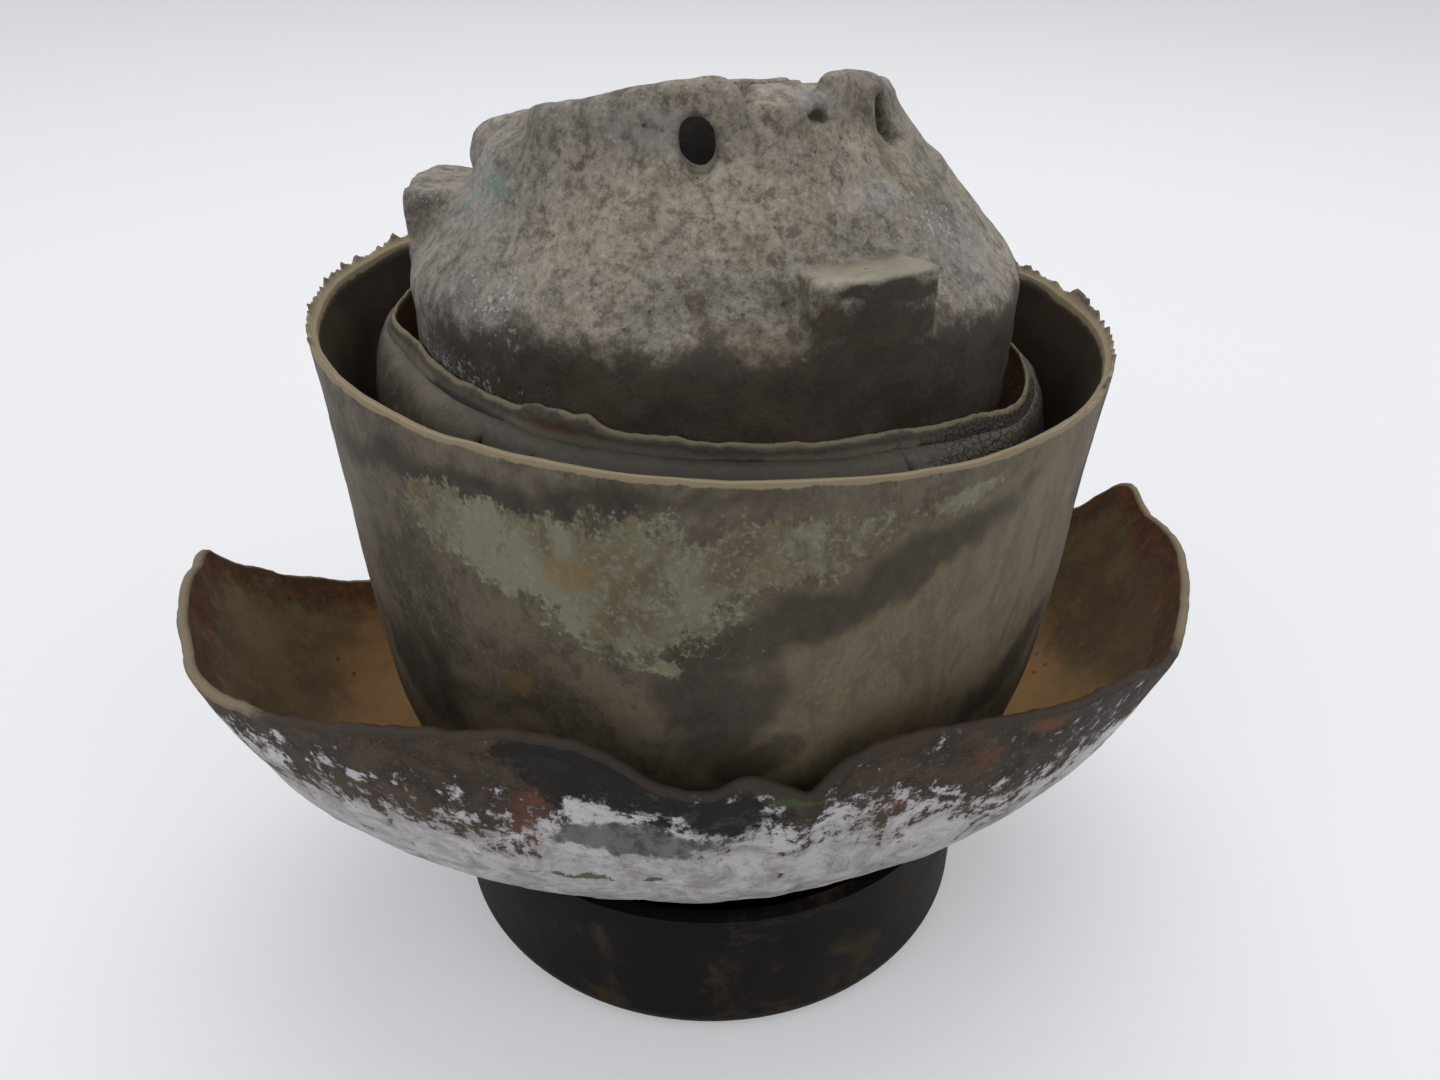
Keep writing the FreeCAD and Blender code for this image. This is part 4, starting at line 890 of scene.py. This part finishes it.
class MountSizes(bpy.types.PropertyGroup):
    """Sizes of the surfaces that are made round the frame."""

    shield_steel: metres("Shield sheet", "Thickness of the heat shield's sheet", 0.0015)
    boot_wall: metres("Boot wall", "Thickness of the boot's wall", 0.002)
    flash: metres("Rim flash", "Scale of the torn flash on the boot's rim", 0.001)
    casting_grain: metres("Casting mesh", "Spacing of the casting's mesh", 0.0008)
    crown_easing: FloatProperty(name="Crown easing", default=22, min=0, max=60,
                                description="Rounds of smoothing on the crown's edge")


class MountColours(bpy.types.PropertyGroup):
    """Main colours of the finishes."""

    boot_dark: colour("Boot, dark skin", "Boot's skin where it is sound", (94, 85, 73))
    boot_worn: colour("Boot, worn", "Boot where its skin has worn off", (112, 110, 92))
    boot_side: colour("Boot, dusty side", "Dusty side of the boot", (106, 96, 76))
    rubber_edge: colour("Rubber edges", "Rubber's weathered edges and flash", (132, 119, 94))
    spring_dark: colour("Spring", "Spring's rubber", (66, 60, 54))
    casting_pale: colour("Casting, pale", "Casting's pale metal", (164, 156, 144))
    casting_shade: colour("Casting, dull", "Casting's dull metal", (134, 125, 114))
    shield_white: colour("Shield coating", "Shield's corroded coating", (194, 191, 195))
    shield_brown: colour("Shield dirt", "Dirt and rust on the shield", (70, 56, 44))
    shield_inside: colour("Shield inside", "Inside of the shield", (104, 88, 60))
    shield_edge: colour("Shield edge", "Bare edge of the shield", (124, 112, 92))
    cup_black: colour("Base cup", "Coating of the base cup", (13, 12, 13))


class MOUNT_OT_press_shield(bpy.types.Operator):
    """Press the corroded heat shield over its CAD node"""

    bl_idname = "mount.press_shield"
    bl_label = "Press heat shield"

    def execute(self, context):
        piece = make_shield(context.scene.mount_sizes)
        settle(piece, "shield_steel", [shield_metal(context.scene.mount_colours)], "heat_shield")
        return {"FINISHED"}


class MOUNT_OT_mould_boot(bpy.types.Operator):
    """Mould the rubber boot with its frayed rim"""

    bl_idname = "mount.mould_boot"
    bl_label = "Mould boot"

    def execute(self, context):
        piece = make_boot(context.scene.mount_sizes)
        settle(piece, "boot_rubber", [rubber_boot(context.scene.mount_colours)], "boot")
        return {"FINISHED"}


class MOUNT_OT_mould_spring(bpy.types.Operator):
    """Mould the spring's collar with its lip, and the bellows inside the housing"""

    bl_idname = "mount.mould_spring"
    bl_label = "Mould spring and bellows"

    def execute(self, context):
        collar = make_collar()
        finish = rubber_spring(context.scene.mount_colours)
        settle(collar, "spring_rubber", [finish], "main_spring")
        plain = soft_rubber("bellows_rubber", tone(40, 39, 38), tone(58, 56, 53))
        settle(make_bellows(), "spring_rubber", [plain], "bellows")
        return {"FINISHED"}


class MOUNT_OT_cast_housing(bpy.types.Operator):
    """Cast the housing's weathered skin over its CAD node"""

    bl_idname = "mount.cast_housing"
    bl_label = "Cast housing"

    def execute(self, context):
        piece = make_casting(context.scene.mount_sizes)
        settle(piece, "cast_aluminium", [cast_metal(context.scene.mount_colours)], "housing")
        return {"FINISHED"}


class MOUNT_OT_finish_nodes(bpy.types.Operator):
    """Give every CAD node that stays its finish"""

    bl_idname = "mount.finish_nodes"
    bl_label = "Finish CAD nodes"

    def execute(self, context):
        cup = coated_steel(context.scene.mount_colours)
        core = turned_metal("core_casting", tone(150, 146, 138), tone(118, 112, 102), 0.5, 0.5, 4)
        steel = turned_metal("dull_steel", tone(128, 124, 118), tone(96, 86, 74), 0.45, 0.8)
        thread = turned_metal("plated_thread", tone(140, 128, 98), tone(104, 84, 62), 0.42, 0.8)
        plate = turned_metal("plate_alloy", tone(164, 164, 160), tone(140, 138, 132), 0.4, 0.7)
        disc = soft_rubber("disc_rubber", tone(38, 37, 36), tone(54, 52, 50))
        finishes = {
            "base_cup": cup, "inner_core": core, "core_insert": thread, "housing_insert": thread,
            "spacer_sleeve": steel, "boot_clamp_ring": steel, "outer_ring": steel,
            "bellows_ring": steel, "track_rivets": plate, "lower_track_plate": plate,
            "upper_track_plate": plate, "decoupler_disc": disc}
        for node, finish in finishes.items():
            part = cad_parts[node]
            if not part.material_slots:
                raise RuntimeError(f"{node} has no material slot")
            for place in part.material_slots:
                place.material = finish
        return {"FINISHED"}


class MOUNT_OT_set_stage(bpy.types.Operator):
    """Set the pale floor, the soft lamps, the world and the camera"""

    bl_idname = "mount.set_stage"
    bl_label = "Set stage"

    def execute(self, context):
        lay_floor()
        hang_lamps()
        light_world(context.scene)
        place_camera(context.scene)
        return {"FINISHED"}


def lay_floor():
    """A wide pale floor: paler to the camera than to the light that it throws on the object."""
    side = 4.0
    mesh = bpy.data.meshes.new("floor")
    corners = [(-side, -side, 0), (side, -side, 0), (side, side, 0), (-side, side, 0)]
    mesh.from_pydata(corners, [], [(0, 1, 2, 3)])
    floor = bpy.data.objects.new("floor", mesh)
    bpy.context.scene.collection.objects.link(floor)
    finish = Finish("pale_floor")
    seen = finish.node("ShaderNodeLightPath", {}, [], "Is Camera Ray")
    base = finish.mix(seen, tone(206, 206, 208), tone(222, 223, 227))
    cloth = finish.node("ShaderNodeBsdfDiffuse", {}, {"Color": base})
    glow = finish.node("ShaderNodeEmission", {}, {"Color": tone(238, 238, 241)})
    mesh.materials.append(finish.finished(
        finish.node("ShaderNodeMixShader", {}, [seen * 0.3, cloth, glow])))


LAMPS = (
    # name, place, size, watts, colour
    ("top_lamp", (0.10, 0.30, 1.05), 1.1, 5.6, (1.0, 0.99, 0.98)),
    ("front_right_lamp", (0.75, -0.65, 0.80), 0.9, 2.0, (1.0, 0.98, 0.96)),
    ("front_left_lamp", (-0.85, -0.55, 0.70), 0.9, 2.7, (0.96, 0.98, 1.0)),
)


def hang_lamps():
    target = Vector((0, 0, 0.08))
    for name, place, side, watts, shade in LAMPS:
        light = bpy.data.lights.new(name, "AREA")
        light.shape = "DISK"
        light.size = side
        light.energy = watts
        light.color = shade
        lamp = bpy.data.objects.new(name, light)
        lamp.location = place
        lamp.rotation_euler = (target - Vector(place)).to_track_quat("-Z", "Y").to_euler()
        bpy.context.scene.collection.objects.link(lamp)


def light_world(scene):
    """Even pale light all round; the camera and reflections see the same pale room."""
    world = bpy.data.worlds.new("pale_room")
    world.use_nodes = True
    world.node_tree.nodes["Background"].inputs["Color"].default_value = (0.86, 0.87, 0.86, 1)
    world.node_tree.nodes["Background"].inputs["Strength"].default_value = 0.8
    scene.world = world


CAMERA_PLACE = Vector((-0.0287, -0.1650, 0.16905))
CAMERA_BEARING = math.radians(79.7)
# pitch and roll in radians, lens in millimetres
CAMERA_PITCH = 0.54818
CAMERA_ROLL = 0.01279
CAMERA_LENS = 29.125


def place_camera(scene):
    """A camera that looks down at the pitch, its up side leaning left by the roll."""
    flat = math.cos(CAMERA_PITCH)
    ahead = Vector((math.cos(CAMERA_BEARING) * flat, math.sin(CAMERA_BEARING) * flat,
                    -math.sin(CAMERA_PITCH)))
    right = ahead.cross(Vector((0, 0, 1))).normalized()
    up = right.cross(ahead)
    c, s = math.cos(CAMERA_ROLL), math.sin(CAMERA_ROLL)
    right, up = right * c + up * s, up * c - right * s
    camera = bpy.data.objects.new("camera", bpy.data.cameras.new("camera"))
    camera.data.sensor_width = 36
    camera.data.lens = CAMERA_LENS
    camera.data.clip_start = 0.01
    turn = Matrix((right, up, -ahead)).transposed().to_4x4()
    camera.matrix_world = Matrix.Translation(CAMERA_PLACE) @ turn
    scene.collection.objects.link(camera)
    scene.camera = camera
    scene.view_settings.view_transform = "Standard"


OPERATORS = (MOUNT_OT_press_shield, MOUNT_OT_mould_boot, MOUNT_OT_mould_spring,
             MOUNT_OT_cast_housing, MOUNT_OT_finish_nodes, MOUNT_OT_set_stage)


class MOUNT_PT_panel(bpy.types.Panel):
    """Lists the sizes, the colours and the operators"""

    bl_label = "Engine mount"
    bl_idname = "MOUNT_PT_panel"
    bl_space_type = "VIEW_3D"
    bl_region_type = "UI"
    bl_category = "Engine mount"

    def draw(self, context):
        for group in (context.scene.mount_sizes, context.scene.mount_colours):
            box = self.layout.box()
            for name in group.__annotations__:
                box.prop(group, name)
        for operator in OPERATORS:
            self.layout.operator(operator.bl_idname)


CLASSES = (MountSizes, MountColours, *OPERATORS, MOUNT_PT_panel)


def register():
    for item in CLASSES:
        bpy.utils.register_class(item)
    bpy.types.Scene.mount_sizes = PointerProperty(type=MountSizes)
    bpy.types.Scene.mount_colours = PointerProperty(type=MountColours)


def unregister():
    del bpy.types.Scene.mount_colours
    del bpy.types.Scene.mount_sizes
    for item in reversed(CLASSES):
        bpy.utils.unregister_class(item)


def main():
    register()
    bpy.ops.mount.press_shield()
    bpy.ops.mount.mould_boot()
    bpy.ops.mount.mould_spring()
    bpy.ops.mount.cast_housing()
    bpy.ops.mount.finish_nodes()
    bpy.ops.mount.set_stage()


if __name__ == "__main__":
    main()
